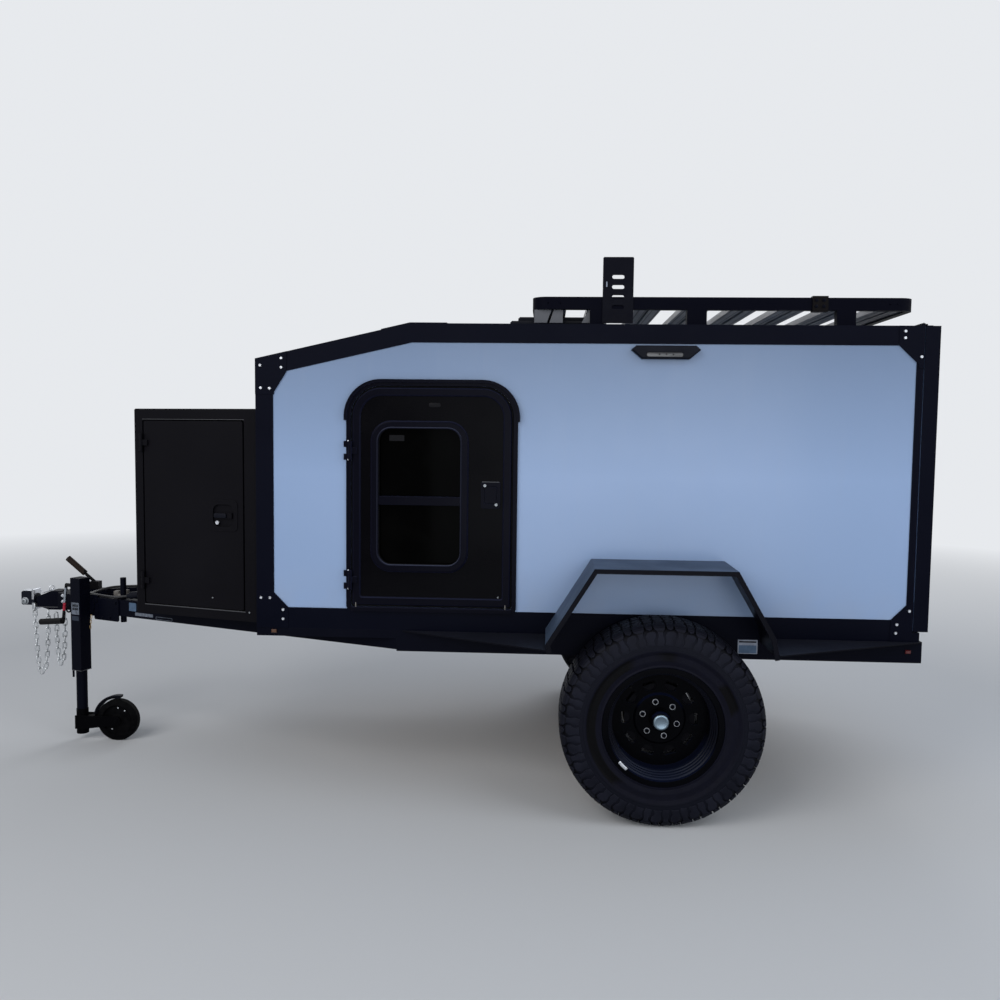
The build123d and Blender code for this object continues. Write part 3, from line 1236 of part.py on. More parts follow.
def make_storage_box():
    """The tapered storage box with the lead's gland, and its side doors on their hinges."""
    side = box_side_plane()
    side_length = (BOX_DEPTH - BOX_STRAIGHT) / cos(BOX_TAPER)
    door_length = side_length - BOX_DOOR_MARGIN_FRONT - BOX_DOOR_MARGIN_REAR
    door_height = BOX_HEIGHT - BOX_DOOR_MARGIN_BOTTOM - BOX_DOOR_MARGIN_TOP
    door_middle = (BOX_DOOR_MARGIN_FRONT + door_length / 2, BOX_DOOR_MARGIN_BOTTOM + door_height / 2)
    top_z = BOX_BOTTOM_Z + BOX_HEIGHT
    gland_z = RAIL_TOP_Z + GLAND_RISE
    gland_plane = rear_plane(BOX_FRONT_X)
    with BuildPart() as doorway:
        with BuildSketch(side):
            with Locations(door_middle):
                RectangleRounded(door_length, door_height, BOX_DOOR_CORNER_RADIUS)
        extrude(amount=-2 * BOX_WALL)
    with BuildPart() as box:
        add(plan_slab(box_plan(0), BOX_BOTTOM_Z, top_z))
        fillet(box.edges().filter_by(Axis.Z).group_by(Axis.X)[-1], BOX_CORNER_RADIUS)
        chamfer(box.faces().sort_by(Axis.Z)[-1].edges(), BOX_EDGE_CHAMFER)
        add(plan_slab(box_plan(BOX_WALL), BOX_BOTTOM_Z + BOX_WALL, top_z - BOX_WALL), mode=Mode.SUBTRACT)
        add(doorway.part, mode=Mode.SUBTRACT)
        mirror(doorway.part, about=Plane.XZ, mode=Mode.SUBTRACT)
        with BuildSketch(gland_plane):
            with Locations((GLAND_Y, gland_z)):
                RegularPolygon(LEAD_DIAMETER + 2, 6)
        extrude(amount=GLAND_LENGTH / 3)
        with BuildSketch(gland_plane.offset(GLAND_LENGTH / 3)):
            with Locations((GLAND_Y, gland_z)):
                Circle(LEAD_DIAMETER - 1)
        with BuildSketch(gland_plane.offset(GLAND_LENGTH)):
            with Locations((GLAND_Y, gland_z)):
                Circle(LEAD_DIAMETER / 2 + 2)
        loft()
    keep("storage_box", box.part)

    third = HINGE_LENGTH / 3
    with BuildPart() as hinges:
        for height in BOX_HINGE_HEIGHTS:
            for shift in (-third, third):
                add(box_knuckle(height, shift, leaf_to_rear=False))
            with Locations(side.from_local_coords((BOX_DOOR_MARGIN_FRONT, height, BOX_HINGE_REACH))):
                Cylinder(HINGE_PIN_RADIUS, HINGE_LENGTH)
    keep_pair("storage_hinges", hinges.part)

    pocket_width, pocket_height, pocket_depth = BOX_LATCH_POCKET
    with BuildPart() as door:
        with BuildSketch(side):
            with Locations(door_middle):
                RectangleRounded(
                    door_length - 2 * DOOR_GAP, door_height - 2 * DOOR_GAP, BOX_DOOR_CORNER_RADIUS - DOOR_GAP
                )
        extrude(amount=-BOX_DOOR_THICKNESS)
        with BuildSketch(side):
            with Locations((BOX_LATCH_ALONG, BOX_LATCH_RISE)):
                RectangleRounded(*BOX_LATCH_SIZE, 20)
        extrude(amount=3)
        with BuildSketch(side.offset(3)):
            with Locations((BOX_LATCH_ALONG, BOX_LATCH_RISE)):
                RectangleRounded(pocket_width, pocket_height, 30)
                Rectangle(*BOX_LATCH_HANDLE, mode=Mode.SUBTRACT)
        extrude(amount=-pocket_depth, mode=Mode.SUBTRACT)
        for height in BOX_HINGE_HEIGHTS:
            add(box_knuckle(height, 0, leaf_to_rear=True))
    keep_sides("storage_door", door.part)


def make_lead():
    """The trailer lead, laid over the tongue's legs, and the plug that rests on the left leg."""
    def place(ahead, y, rise):
        return Vector(BODY_FRONT_X + ahead, y, RAIL_TOP_Z + rise)

    start = Vector(BOX_FRONT_X + GLAND_LENGTH, GLAND_Y, RAIL_TOP_Z + GLAND_RISE)
    points = [start] + [place(*point) for point in LEAD_ROUTE]
    radii = []
    for before, corner, after in zip(points, points[1:], points[2:]):
        arriving = corner - before
        leaving = after - corner
        half_turn = radians(arriving.get_angle(leaving)) / 2
        radii.append(0.45 * min(arriving.length, leaving.length) / tan(half_turn))
    with BuildPart() as lead:
        with BuildLine() as path:
            FilletPolyline(*points, radius=radii)
        route = path.wire()
        with BuildSketch(Plane(origin=start, z_dir=route % 0)):
            Circle(LEAD_DIAMETER / 2)
        sweep()
    keep("tongue_lead", lead.part)
    length = route.length
    section = 3.14159265 * LEAD_DIAMETER ** 2 / 4
    print("lead radii", [round(radius) for radius in radii])
    print("lead length", round(length), "volume against section times length",
          round(lead.part.volume / (section * length), 5))

    end = points[-1]
    along = route % 1
    neck = end + along * PLUG_LENGTHS[0]
    with BuildPart() as plug:
        add(rod(end, neck, PLUG_RADII[0]))
        add(rod(neck, neck + along * PLUG_LENGTHS[1], PLUG_RADII[1]))
    keep("lead_plug", plug.part)


def make_rack():
    """Roof rack with its feet, the grooved slats, and the slotted bracket with the rail clamp."""
    middle_x = aft(RACK_FRONT_AFT + RACK_LENGTH / 2)
    rack_top_z = RACK_BOTTOM_Z + RACK_HEIGHT
    flange_length, flange_depth, flange_height = RACK_FOOT_FLANGE
    with BuildPart() as rack:
        with BuildSketch(Plane.XY.offset(RACK_BOTTOM_Z)):
            with Locations((middle_x, 0)):
                RectangleRounded(RACK_LENGTH, 2 * RACK_HALF_WIDTH, RACK_CORNER_RADIUS)
                Rectangle(
                    RACK_LENGTH - 2 * RACK_RAIL, 2 * (RACK_HALF_WIDTH - RACK_RAIL), mode=Mode.SUBTRACT
                )
        extrude(amount=RACK_HEIGHT)
        for distance, length in RACK_FEET:
            for side in (-1, 1):
                inner = RACK_HALF_WIDTH - RACK_FOOT_DEPTH
                lows = sorted((side * inner, side * RACK_HALF_WIDTH))
                add(block(
                    aft(distance + length / 2), aft(distance - length / 2), *lows, ROOF_PANEL_Z, RACK_BOTTOM_Z,
                ))
                lows = sorted((side * (inner - flange_depth), side * RACK_HALF_WIDTH))
                add(block(
                    aft(distance + length / 2 + flange_length), aft(distance - length / 2 - flange_length),
                    *lows, ROOF_PANEL_Z, ROOF_PANEL_Z + flange_height,
                ))
    keep("rack_frame", rack.part)

    groove_width, groove_depth = SLAT_GROOVE
    slat_bottom_z = RACK_BOTTOM_Z + SLAT_RISE
    half_y = RACK_HALF_WIDTH - RACK_RAIL - SLAT_CLEARANCE
    inner_length = RACK_LENGTH - 2 * RACK_RAIL - 2 * SLAT_CLEARANCE
    pitch = (inner_length - SLAT_WIDTH) / (SLAT_COUNT - 1)
    first = RACK_FRONT_AFT + RACK_RAIL + SLAT_CLEARANCE + SLAT_WIDTH / 2
    with BuildPart() as slats:
        with BuildSketch(side_plane(half_y)):
            for index in range(SLAT_COUNT):
                x = aft(first + index * pitch)
                with Locations((x, slat_bottom_z + SLAT_THICKNESS / 2)):
                    Rectangle(SLAT_WIDTH, SLAT_THICKNESS)
                with Locations((x, slat_bottom_z + groove_depth / 2)):
                    Rectangle(groove_width, groove_depth, mode=Mode.SUBTRACT)
        extrude(amount=2 * half_y)
    keep("rack_slats", slats.part)

    length, thickness, height = BRACKET_SIZE
    clamp_gap = SLAT_CLEARANCE
    clamp_low = RACK_HALF_WIDTH - CLAMP_LIP
    clamp_high = RACK_HALF_WIDTH + clamp_gap + CLAMP_WALL
    with BuildPart() as bracket:
        with BuildSketch(side_plane(RACK_HALF_WIDTH)) as face:
            with Locations((aft(BRACKET_AFT + length / 2), BRACKET_BOTTOM_Z + height / 2)):
                Rectangle(length, height)
            chamfer(face.vertices().group_by(Axis.Y)[-1], BRACKET_CHAMFER)
            with Locations((aft(BRACKET_AFT + length / 2), BRACKET_BOTTOM_Z + BRACKET_SLOT_MIDDLE)):
                with GridLocations(0, BRACKET_SLOT_PITCH, 1, BRACKET_SLOTS):
                    SlotOverall(*BRACKET_SLOT_SIZE, mode=Mode.SUBTRACT)
        extrude(amount=-thickness)
        add(block(
            aft(CLAMP_AFT + CLAMP_LENGTH), aft(CLAMP_AFT), clamp_low, clamp_high,
            RACK_BOTTOM_Z - clamp_gap - CLAMP_WALL, rack_top_z + clamp_gap + CLAMP_WALL,
        ))
        add(block(
            aft(CLAMP_AFT + CLAMP_LENGTH), aft(CLAMP_AFT), clamp_low, RACK_HALF_WIDTH + clamp_gap,
            RACK_BOTTOM_Z - clamp_gap, rack_top_z + clamp_gap,
        ), mode=Mode.SUBTRACT)
    keep("accessory_bracket", bracket.part)


def make_fittings():
    """The roof vent, porch lights, side markers and tail lights."""
    length, width, height = VENT_SIZE
    middle_x = aft(VENT_AFT + length / 2)
    with BuildPart() as vent:
        with Locations((middle_x, 0, ROOF_PANEL_Z + height / 2)):
            Box(length, width, height)
        chamfer(vent.faces().sort_by(Axis.Z)[-1].edges(), VENT_CHAMFER)
        with BuildSketch(Plane.XY.offset(ROOF_PANEL_Z + height)):
            with Locations((middle_x, 0)):
                Rectangle(length - 2 * VENT_LID_INSET, width - 2 * VENT_LID_INSET)
        extrude(amount=VENT_LID_RISE)
        chamfer(vent.faces().sort_by(Axis.Z)[-1].edges(), VENT_CHAMFER)
    keep("roof_vent", vent.part)

    length, height, proud = PORCH_LIGHT_SIZE
    lens_length, lens_height, lens_depth = PORCH_LENS
    shoulder, drop = PORCH_LIGHT_SHOULDER
    front = aft(PORCH_LIGHT_AFT)
    bottom_z = PORCH_LIGHT_TOP_Z - height
    housing = [
        (front - shoulder, PORCH_LIGHT_TOP_Z), (front - length + shoulder, PORCH_LIGHT_TOP_Z),
        (front - length, PORCH_LIGHT_TOP_Z - drop), (front - length + PORCH_LIGHT_TAPER, bottom_z),
        (front - PORCH_LIGHT_TAPER, bottom_z), (front, PORCH_LIGHT_TOP_Z - drop),
    ]
    with BuildPart() as porch:
        add(slab(housing, PANEL_Y, PANEL_Y + proud))
        chamfer(porch.faces().sort_by(Axis.Y)[-1].edges(), 5)
        with BuildSketch(side_plane(PANEL_Y + proud)):
            with Locations((front - length / 2 + 5, bottom_z + PORCH_LENS_RISE)):
                Rectangle(lens_length, lens_height)
        extrude(amount=lens_depth, mode=Mode.SUBTRACT)
    keep_pair("porch_lights", porch.part)

    length, proud, height = MARKER_SIZE
    rear_x = RAIL_REAR_X + MARKER_REAR_AHEAD_OF_RAIL_END
    with BuildPart() as markers:
        for x, z in (
            (aft(MARKER_FRONT_AFT), RAIL_TOP_Z - CORNER_RAIL_HEIGHT / 2 + 4),
            (rear_x, RAIL_TOP_Z - RAIL_HEIGHT / 2 + 3),
        ):
            add(block(x - length / 2, x + length / 2, SIDE_Y, SIDE_Y + proud, z - height / 2, z + height / 2))
        chamfer(markers.faces().group_by(Axis.Y)[-1].edges(), 3)
    keep_pair("marker_lights", markers.part)

    depth, width, height = TAIL_LIGHT_SIZE
    lamp_y = SIDE_Y - RAIL_WIDTH - TAIL_LIGHT_INSET
    lamp_z = RAIL_TOP_Z - CORNER_RAIL_HEIGHT / 2
    with BuildPart() as tail:
        add(block(
            RAIL_REAR_X - depth, RAIL_REAR_X, lamp_y - width, lamp_y, lamp_z - height / 2, lamp_z + height / 2,
        ))
        chamfer(tail.faces().sort_by(Axis.X)[0].edges(), 3)
    keep_pair("tail_lights", tail.part)


def main():
    make_cabin()
    make_trims()
    make_hatch()
    make_galley()
    make_chassis()
    make_coupler()
    make_jack()
    make_caster()
    make_brake_lever()
    make_axle()
    make_wheels()
    make_fenders()
    make_door_frame()
    make_entry_doors()
    make_storage_box()
    make_lead()
    make_rack()
    make_fittings()
    os.makedirs("parts", exist_ok=True)
    for name, part in nodes.items():
        export_step(part, f"parts/{name}.step")


main()
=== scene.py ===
"""Looks for the off-road teardrop trailer: finishes, small parts, the trailer lead, light and camera.

Metres, +X towards the hitch, +Y to the trailer's left, +Z up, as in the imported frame.
Tables of places on the trailer are in millimetres, measured aft of the cabin's front and above the ground.
"""
from math import acosh, asinh, atan2, cos, hypot, pi, radians, sin, tan

import bpy
from mathutils import Matrix, Vector


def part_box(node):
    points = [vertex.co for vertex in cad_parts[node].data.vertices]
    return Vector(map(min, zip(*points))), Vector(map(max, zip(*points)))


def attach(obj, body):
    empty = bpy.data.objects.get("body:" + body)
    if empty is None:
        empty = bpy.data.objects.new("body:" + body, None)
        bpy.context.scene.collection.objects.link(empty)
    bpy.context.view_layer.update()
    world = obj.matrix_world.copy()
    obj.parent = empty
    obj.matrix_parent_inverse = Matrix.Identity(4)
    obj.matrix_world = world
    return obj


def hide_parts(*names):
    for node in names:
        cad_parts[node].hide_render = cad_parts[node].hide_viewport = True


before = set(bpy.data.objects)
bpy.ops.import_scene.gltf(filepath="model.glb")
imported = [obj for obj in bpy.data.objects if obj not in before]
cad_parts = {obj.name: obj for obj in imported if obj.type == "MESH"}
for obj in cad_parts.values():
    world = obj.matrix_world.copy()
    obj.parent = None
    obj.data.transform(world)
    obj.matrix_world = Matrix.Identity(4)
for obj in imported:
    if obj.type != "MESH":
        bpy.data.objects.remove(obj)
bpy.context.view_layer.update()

# Places taken from the frame
MM = 0.001
trims_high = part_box("edge_trims")[1]
FRONT_X = trims_high.x
SIDE_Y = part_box("rear_sill")[1].y
GUSSET_Y = trims_high.y
RAIL_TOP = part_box("main_rails")[1].z
tyre_low, tyre_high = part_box("tyre_left")
TYRE_RADIUS = (tyre_high.z - tyre_low.z) / 2
AXLE_X = (tyre_low.x + tyre_high.x) / 2
WHEEL_Y = (tyre_low.y + tyre_high.y) / 2
WHEEL_CENTRE = (AXLE_X, WHEEL_Y, TYRE_RADIUS)
jack_low, jack_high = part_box("jack_leg")
JACK_X = (jack_low.x + jack_high.x) / 2
JACK_Y = (jack_low.y + jack_high.y) / 2
# The tongue's legs: their angle to the trailer's line, and how far behind the cabin's front they start
LEG_ANGLE = radians(20.9)
LEG_START = 590


def aft(distance):
    """The X of a point a distance in millimetres behind the cabin's front."""
    return FRONT_X - distance * MM


def leg_outer_y(ahead):
    """The Y of the left tongue leg's outer face, millimetres ahead of the cabin."""
    return SIDE_Y - (LEG_START + ahead) * MM * tan(LEG_ANGLE)


# Shader maths
def joins(operation):
    """A method that joins two values with a Math node."""
    return lambda wire, other: wire.maths(operation, wire, other)


class Wire:
    """An output socket, which Python's operators join to others with Math nodes."""

    def __init__(self, paint, socket):
        self.paint, self.socket = paint, socket

    def maths(self, operation, *values):
        return self.paint.node("Math", {"operation": operation}, dict(enumerate(values)))

    __add__ = joins("ADD")
    __mul__ = __rmul__ = joins("MULTIPLY")
    __pow__ = joins("POWER")
    __gt__ = joins("GREATER_THAN")
    __lt__ = joins("LESS_THAN")

    def __rsub__(self, other):
        return self.maths("SUBTRACT", other, self)

    def absolute(self):
        return self.maths("ABSOLUTE", self)

    def wave(self):
        return self.maths("SINE", self)

    def ramp(self, low, high, start=0.0, end=1.0):
        """This value, run from one range to another and held inside it."""
        inputs = {"Value": self, "From Min": low, "From Max": high, "To Min": start, "To Max": end}
        return self.paint.node("MapRange", {"clamp": True}, inputs)


class Paint:
    """One material under construction."""

    def __init__(self, name):
        self.material = bpy.data.materials.new(name)
        self.material.use_nodes = True
        self.tree = self.material.node_tree
        self.tree.nodes.clear()
        self.place = self.node("TexCoord", {}, {}, "Object")

    def node(self, kind, settings, inputs, output=0):
        """Adds a node of a type, sets it, feeds its sockets with values or wires, and gives an output."""
        made = self.tree.nodes.new("ShaderNode" + kind)
        for name, value in settings.items():
            setattr(made, name, value)
        for name, value in inputs.items():
            if isinstance(value, Wire):
                self.tree.links.new(value.socket, made.inputs[name])
            elif hasattr(value, "__len__") and made.inputs[name].type == "RGBA":
                made.inputs[name].default_value = (*value[:3], 1)
            else:
                made.inputs[name].default_value = value
        return Wire(self, made.outputs[output]) if len(made.outputs) else None

    def noise(self, scale, detail, stretch=(1, 1, 1), roughness=0.5):
        where = self.node("Mapping", {}, {"Vector": self.place, "Scale": stretch})
        inputs = {"Vector": where, "Scale": scale, "Detail": detail, "Roughness": roughness}
        return self.node("TexNoise", {}, inputs)

    def grade(self, scale, detail, low, high):
        """Noise that runs from one value to another."""
        return self.noise(scale, detail).ramp(0.3, 0.7, low, high)

    def cells(self, scale):
        return self.node("TexVoronoi", {}, {"Vector": self.place, "Scale": scale}, "Distance")

    def mix(self, first, second, factor):
        return self.node("Mix", {"data_type": "RGBA"}, {0: factor, 6: first, 7: second}, 2)

    def axes(self, centre=(0, 0, 0)):
        """The place's X, Y and Z, measured from a centre."""
        moved = self.node("VectorMath", {"operation": "SUBTRACT"}, {0: self.place, 1: centre})
        return [self.node("SeparateXYZ", {}, {0: moved}, axis) for axis in "XYZ"]

    def facing(self, axis):
        """How far the true face looks along an axis, from -1 to 1."""
        true = self.node("NewGeometry", {}, {}, "True Normal")
        return self.node("SeparateXYZ", {}, {0: true}, axis)

    def rounded(self, radius):
        """A normal that rounds the edges by a radius."""
        return self.node("Bevel", {"samples": 4}, {"Radius": radius})

    def edges(self, rounded):
        """How near a point is to a sharp edge, from 0 to 1."""
        true = self.node("NewGeometry", {}, {}, "True Normal")
        facing = self.node("VectorMath", {"operation": "DOT_PRODUCT"}, {0: rounded, 1: true}, "Value")
        return (1 - facing).ramp(0.01, 0.22)

    def bump(self, height, distance, normal=None, strength=1.0):
        inputs = {"Height": height, "Distance": distance, "Strength": strength}
        if normal:
            inputs["Normal"] = normal
        return self.node("Bump", {}, inputs)

    def finish(self, **sockets):
        """The shader that shows, with its sockets' names written in Python's way."""
        inputs = {name.replace("_", " "): value for name, value in sockets.items()}
        shader = self.node("BsdfPrincipled", {}, inputs)
        self.node("OutputMaterial", {}, {"Surface": shader})
        return self.material


def tint(colour, factor, lift=0.0):
    """A colour made brighter or darker by a factor, then lifted."""
    return [channel * factor + lift for channel in colour]


def powder_coat(name, colour, roughness, grain, specular=0.05, dust=0.3, radius=1.6, dust_and_sky_sheen=None, wear=0.5):
    """Powder-coated metal: fine orange peel, faint dust, worn paler edges, and a colour on what faces up,
    which is dust on some coats and a painted sky sheen on others.
    """
    paint = Paint(name)
    rounded = paint.rounded(radius * MM)
    edge = paint.edges(rounded) * paint.noise(60, 4).ramp(0.35, 0.65)
    film = paint.noise(3.5, 5).ramp(0.42, 0.75)
    peel = paint.noise(900, 2) + paint.noise(260, 2) * 0.6
    base = paint.mix(colour, tint(colour, 1.5, 0.003), film * dust)
    base = paint.mix(base, tint(colour, 2.2, 0.016), edge * wear)
    # What faces up takes a colour in patches: dust on the step and guard, painted sky sheen on the fender,
    # wheel and rim barrel
    if dust_and_sky_sheen:
        patches = paint.noise(6, 4).ramp(0.2, 0.6, 0.7, 1.0)
        base = paint.mix(base, dust_and_sky_sheen, paint.facing("Z").ramp(0.25, 0.5) * patches)
    return paint.finish(
        Base_Color=base, Roughness=paint.grade(7, 4, roughness - 0.06, roughness + 0.07),
        Normal=paint.bump(peel, grain * MM, rounded), Specular_IOR_Level=specular,
    )


def panel_sheet():
    """The body panels: white gelcoat in a painted blue sky shade, darker towards the top by painted shade,
    faintly wavy, with a little dust low down.
    """
    paint = Paint("pale_gelcoat_panel")
    x, y, z = paint.axes()
    low = z.ramp(0.72, 0.98, 1.0, 0.0) * paint.noise(9, 5).ramp(0.35, 0.8)
    streak = paint.noise(5, 4, (6, 6, 0.5)).ramp(0.55, 0.8)
    # The tone is the white gelcoat's blue shade under the sky, painted into its colour
    tone = paint.mix((0.255, 0.350, 0.545), (0.238, 0.335, 0.525), paint.grade(1.3, 2, 0, 1))
    # Painted shade: the panel darkens towards the top
    shaded_top = paint.mix(tone, (0.118, 0.170, 0.270), z.ramp(1.35, 1.98))
    soiled = paint.mix(shaded_top, (0.30, 0.33, 0.38), low * 0.3 + streak * 0.04)
    rounded = paint.rounded(1.2 * MM)
    return paint.finish(
        Base_Color=soiled, Roughness=paint.grade(14, 4, 0.28, 0.36), Specular_IOR_Level=0.3,
        Normal=paint.bump(paint.noise(420, 1) * 0.02 + paint.noise(2.2, 1), 0.3 * MM, rounded, 0.4),
        Coat_Weight=0.1, Coat_Roughness=0.12,
    )


def gloss_black():
    """The entry doors' enamel, with a light film of dust, paler towards the bottom, and a painted bluish sky
    sheen on raised mouldings, rounded shoulders, faces that look up and sharp edges.
    """
    paint = Paint("door_enamel")
    rounded = paint.rounded(2.6 * MM)
    dust = paint.noise(5, 6).ramp(0.45, 0.8)
    lower = paint.axes()[2].ramp(0.8, 1.0, 1.0, 0.0)
    base = paint.mix((0.0005, 0.0004, 0.0012), (0.0044, 0.0044, 0.0054), dust * 0.08 + lower * 0.5)
    # Painted sky sheen: bluish on raised mouldings, rounded shoulders, faces that look up and sharp edges
    raised = paint.axes()[1].absolute() > SIDE_Y + 4 * MM
    shoulder = paint.facing("Y").absolute().ramp(0.97, 0.6)
    for colour, amount in (
        ((0.0034, 0.0037, 0.0100), raised * 0.5), ((0.0085, 0.0095, 0.0240), shoulder * 0.8),
        ((0.022, 0.026, 0.052), paint.facing("Z").ramp(0.35, 0.9) * 0.5),
        ((0.018, 0.020, 0.040), paint.edges(rounded) * 0.6),
    ):
        base = paint.mix(base, colour, amount)
    return paint.finish(
        Base_Color=base, Roughness=dust.ramp(0, 1, 0.2, 0.34), Specular_IOR_Level=0.03,
        Normal=paint.bump(paint.noise(3, 1), 0.4 * MM, rounded, 0.4),
    )


def lit_trim(name, colour, lit):
    """A thin moulding with a painted highlight: paler where it faces up or forwards."""
    paint = Paint(name)
    forward = paint.facing("X").ramp(0.2, 0.9) * 0.5
    base = paint.mix(paint.mix(colour, lit, forward), lit, paint.facing("Z").ramp(0.1, 0.8))
    return paint.finish(
        Base_Color=base, Roughness=paint.grade(30, 3, 0.3, 0.4), Specular_IOR_Level=0.05,
        Normal=paint.bump(paint.noise(300, 2), 0.05 * MM),
    )


def bare_steel(name, colour, roughness, tarnished=0.6):
    """Plated or machined steel with fine marks and a little tarnish."""
    paint = Paint(name)
    marks = paint.noise(500, 3)
    tarnish = paint.noise(30, 5).ramp(0.4, 0.75)
    return paint.finish(
        Base_Color=paint.mix(colour, tint(colour, 0.45), tarnish * tarnished), Metallic=1.0,
        Roughness=marks.ramp(0.3, 0.7, roughness - 0.07, roughness + 0.1),
        Normal=paint.bump(marks, 0.08 * MM, paint.rounded(0.8 * MM)),
    )


def moulded_plastic(name, colour):
    """Moulded plastic with a fine leather-like grain."""
    paint = Paint(name)
    rounded = paint.rounded(1.2 * MM)
    grains = paint.cells(900)
    faded = paint.noise(16, 4).ramp(0.4, 0.8) * 0.6 + paint.edges(rounded) * 0.4
    base = paint.mix(colour, tint(colour, 1.5, 0.004), faded)
    return paint.finish(
        Base_Color=base, Roughness=paint.grade(30, 3, 0.39, 0.53),
        Normal=paint.bump(grains, 0.06 * MM, rounded), Specular_IOR_Level=0.07,
    )


def lens_plastic(name, colour, front=None):
    """A lamp's ribbed lens, with another colour on the trailer's front half."""
    paint = Paint(name)
    x, y, z = paint.axes()
    ribs = ((x + y) * (2 * pi / 0.004)).wave() * 0.5 + 0.5
    shown = paint.mix(colour, front, x > 0.0) if front else colour
    base = paint.mix(shown, (0.0, 0.0, 0.0), 0.5 - ribs * 0.45)
    return paint.finish(
        Base_Color=base, Roughness=0.12, Normal=paint.bump(ribs, 0.2 * MM),
        Coat_Weight=0.3, Coat_Roughness=0.05,
    )


def tinted_glass():
    """The door windows: dark smoked glass with a faint film."""
    paint = Paint("smoked_glass")
    film = paint.noise(6, 6).ramp(0.45, 0.8)
    return paint.finish(
        Base_Color=paint.mix((0.0006, 0.0006, 0.0006), (0.0030, 0.0031, 0.0030), film * 0.4),
        Roughness=film.ramp(0, 1, 0.06, 0.14), Specular_IOR_Level=0.01,
    )


def tyre_rubber(name, lug):
    """Tyre rubber: ringed on the sidewall, with dark bare bands, dusty on the lugs, with a painted highlight
    on the lugs' edges and painted shade where the carcass shows between the lugs.
    """
    paint = Paint(name)
    x, y, z = paint.axes((AXLE_X, 0, TYRE_RADIUS))
    radius = (x * x + z * z) ** 0.5
    rings = (radius * (2 * pi / 0.0022)).wave() * (radius.ramp(0.262, 0.266) * radius.ramp(0.297, 0.293))
    dusty = paint.noise(12, 6).ramp(0.38, 0.7)
    if lug:
        base = paint.mix((0.0058, 0.0063, 0.0112), (0.0100, 0.0108, 0.0182), dusty)
        sipes = (y.absolute() * (2 * pi / 0.0085)).wave().ramp(0.55, 0.9) * radius.ramp(0.366, 0.372)
        base = paint.mix(base, (0.0010, 0.0010, 0.0014), sipes * 0.75)
        # Painted highlight: the lugs' edges are paler and bluish
        base = paint.mix(base, (0.036, 0.039, 0.055), paint.edges(paint.rounded(1.6 * MM)) * 0.7)
    else:
        low = paint.mix((0.0028, 0.0029, 0.0062), (0.0044, 0.0047, 0.0110), paint.noise(40, 3))
        band = radius.ramp(0.258, 0.262) * radius.ramp(0.297, 0.293) * paint.noise(2.5, 1).ramp(0.47, 0.5)
        base = paint.mix(low, (0.0012, 0.0012, 0.0018), band)
        base = paint.mix(base, (0.0045, 0.0050, 0.0095), radius.ramp(0.297, 0.305))
        # Painted shade: the carcass is dark where it shows in the gaps between the lugs
        base = paint.mix(base, (0.0010, 0.0010, 0.0014), radius.ramp(0.362, 0.382) * 0.9)
    height = rings * 0.25 + paint.noise(900, 2) * 0.5 + paint.noise(90, 4) * 0.6
    return paint.finish(
        Base_Color=base, Roughness=dusty.ramp(0, 1, 0.5, 0.62), Specular_IOR_Level=0.06,
        Normal=paint.bump(height, 0.35 * MM, paint.rounded(0.8 * MM)),
    )


def plain_rubber(name, colour, roughness=0.6, specular=0.07):
    """Seals, cable jackets and the jack wheel's tread."""
    paint = Paint(name)
    dust = paint.noise(40, 5).ramp(0.4, 0.8)
    return paint.finish(
        Base_Color=paint.mix(colour, tint(colour, 2, 0.006), dust * 0.4), Roughness=roughness,
        Normal=paint.bump(paint.noise(700, 2), 0.1 * MM), Specular_IOR_Level=specular,
    )


def plywood():
    """Sealed plywood boards, with grain along the trailer."""
    paint = Paint("sealed_plywood")
    grain = paint.noise(24, 5, (0.35, 5, 5), 0.6)
    plies = (paint.axes()[2] * (2 * pi / 0.006)).wave() * 0.5 + 0.5
    base = paint.mix((0.28, 0.17, 0.085), (0.42, 0.29, 0.16), grain.ramp(0.3, 0.7))
    return paint.finish(
        Base_Color=paint.mix(base, (0.2, 0.11, 0.05), plies * 0.12),
        Roughness=grain.ramp(0.3, 0.7, 0.42, 0.56),
        Normal=paint.bump(grain, 0.15 * MM, paint.rounded(1 * MM)),
    )


def slat_metal():
    """The rack's extruded slats: grey anodised metal with grooves along them, darkened on the flat faces by
    painted shade.
    """
    paint = Paint("anodised_slat")
    x, y, z = paint.axes()
    # Painted shade: the grooves are darkened on the flat faces
    grooves = (x * (2 * pi / 0.0275)).wave().ramp(0.55, 0.9)
    streaks = paint.noise(14, 4, (1, 0.2, 1)).ramp(0.35, 0.75)
    tone = paint.mix((0.17, 0.17, 0.18), (0.36, 0.36, 0.375), streaks)
    flat = paint.facing("Z").absolute() > 0.5
    return paint.finish(
        Base_Color=paint.mix(tone, (0.008, 0.008, 0.010), grooves * flat * 0.85),
        Metallic=0.2, Roughness=0.48, Specular_IOR_Level=0.3,
        Normal=paint.bump(1 - grooves, 0.5 * MM, paint.rounded(1 * MM)),
    )


def blank_label(name, colour, mottled=0.12):
    """A printed label with nothing written on it."""
    paint = Paint(name)
    base = paint.mix(colour, tint(colour, 1 - mottled * 2), paint.noise(60, 4).ramp(0.35, 0.7))
    return paint.finish(
        Base_Color=base, Roughness=paint.grade(20, 3, 0.38, 0.5), Specular_IOR_Level=0.08,
    )


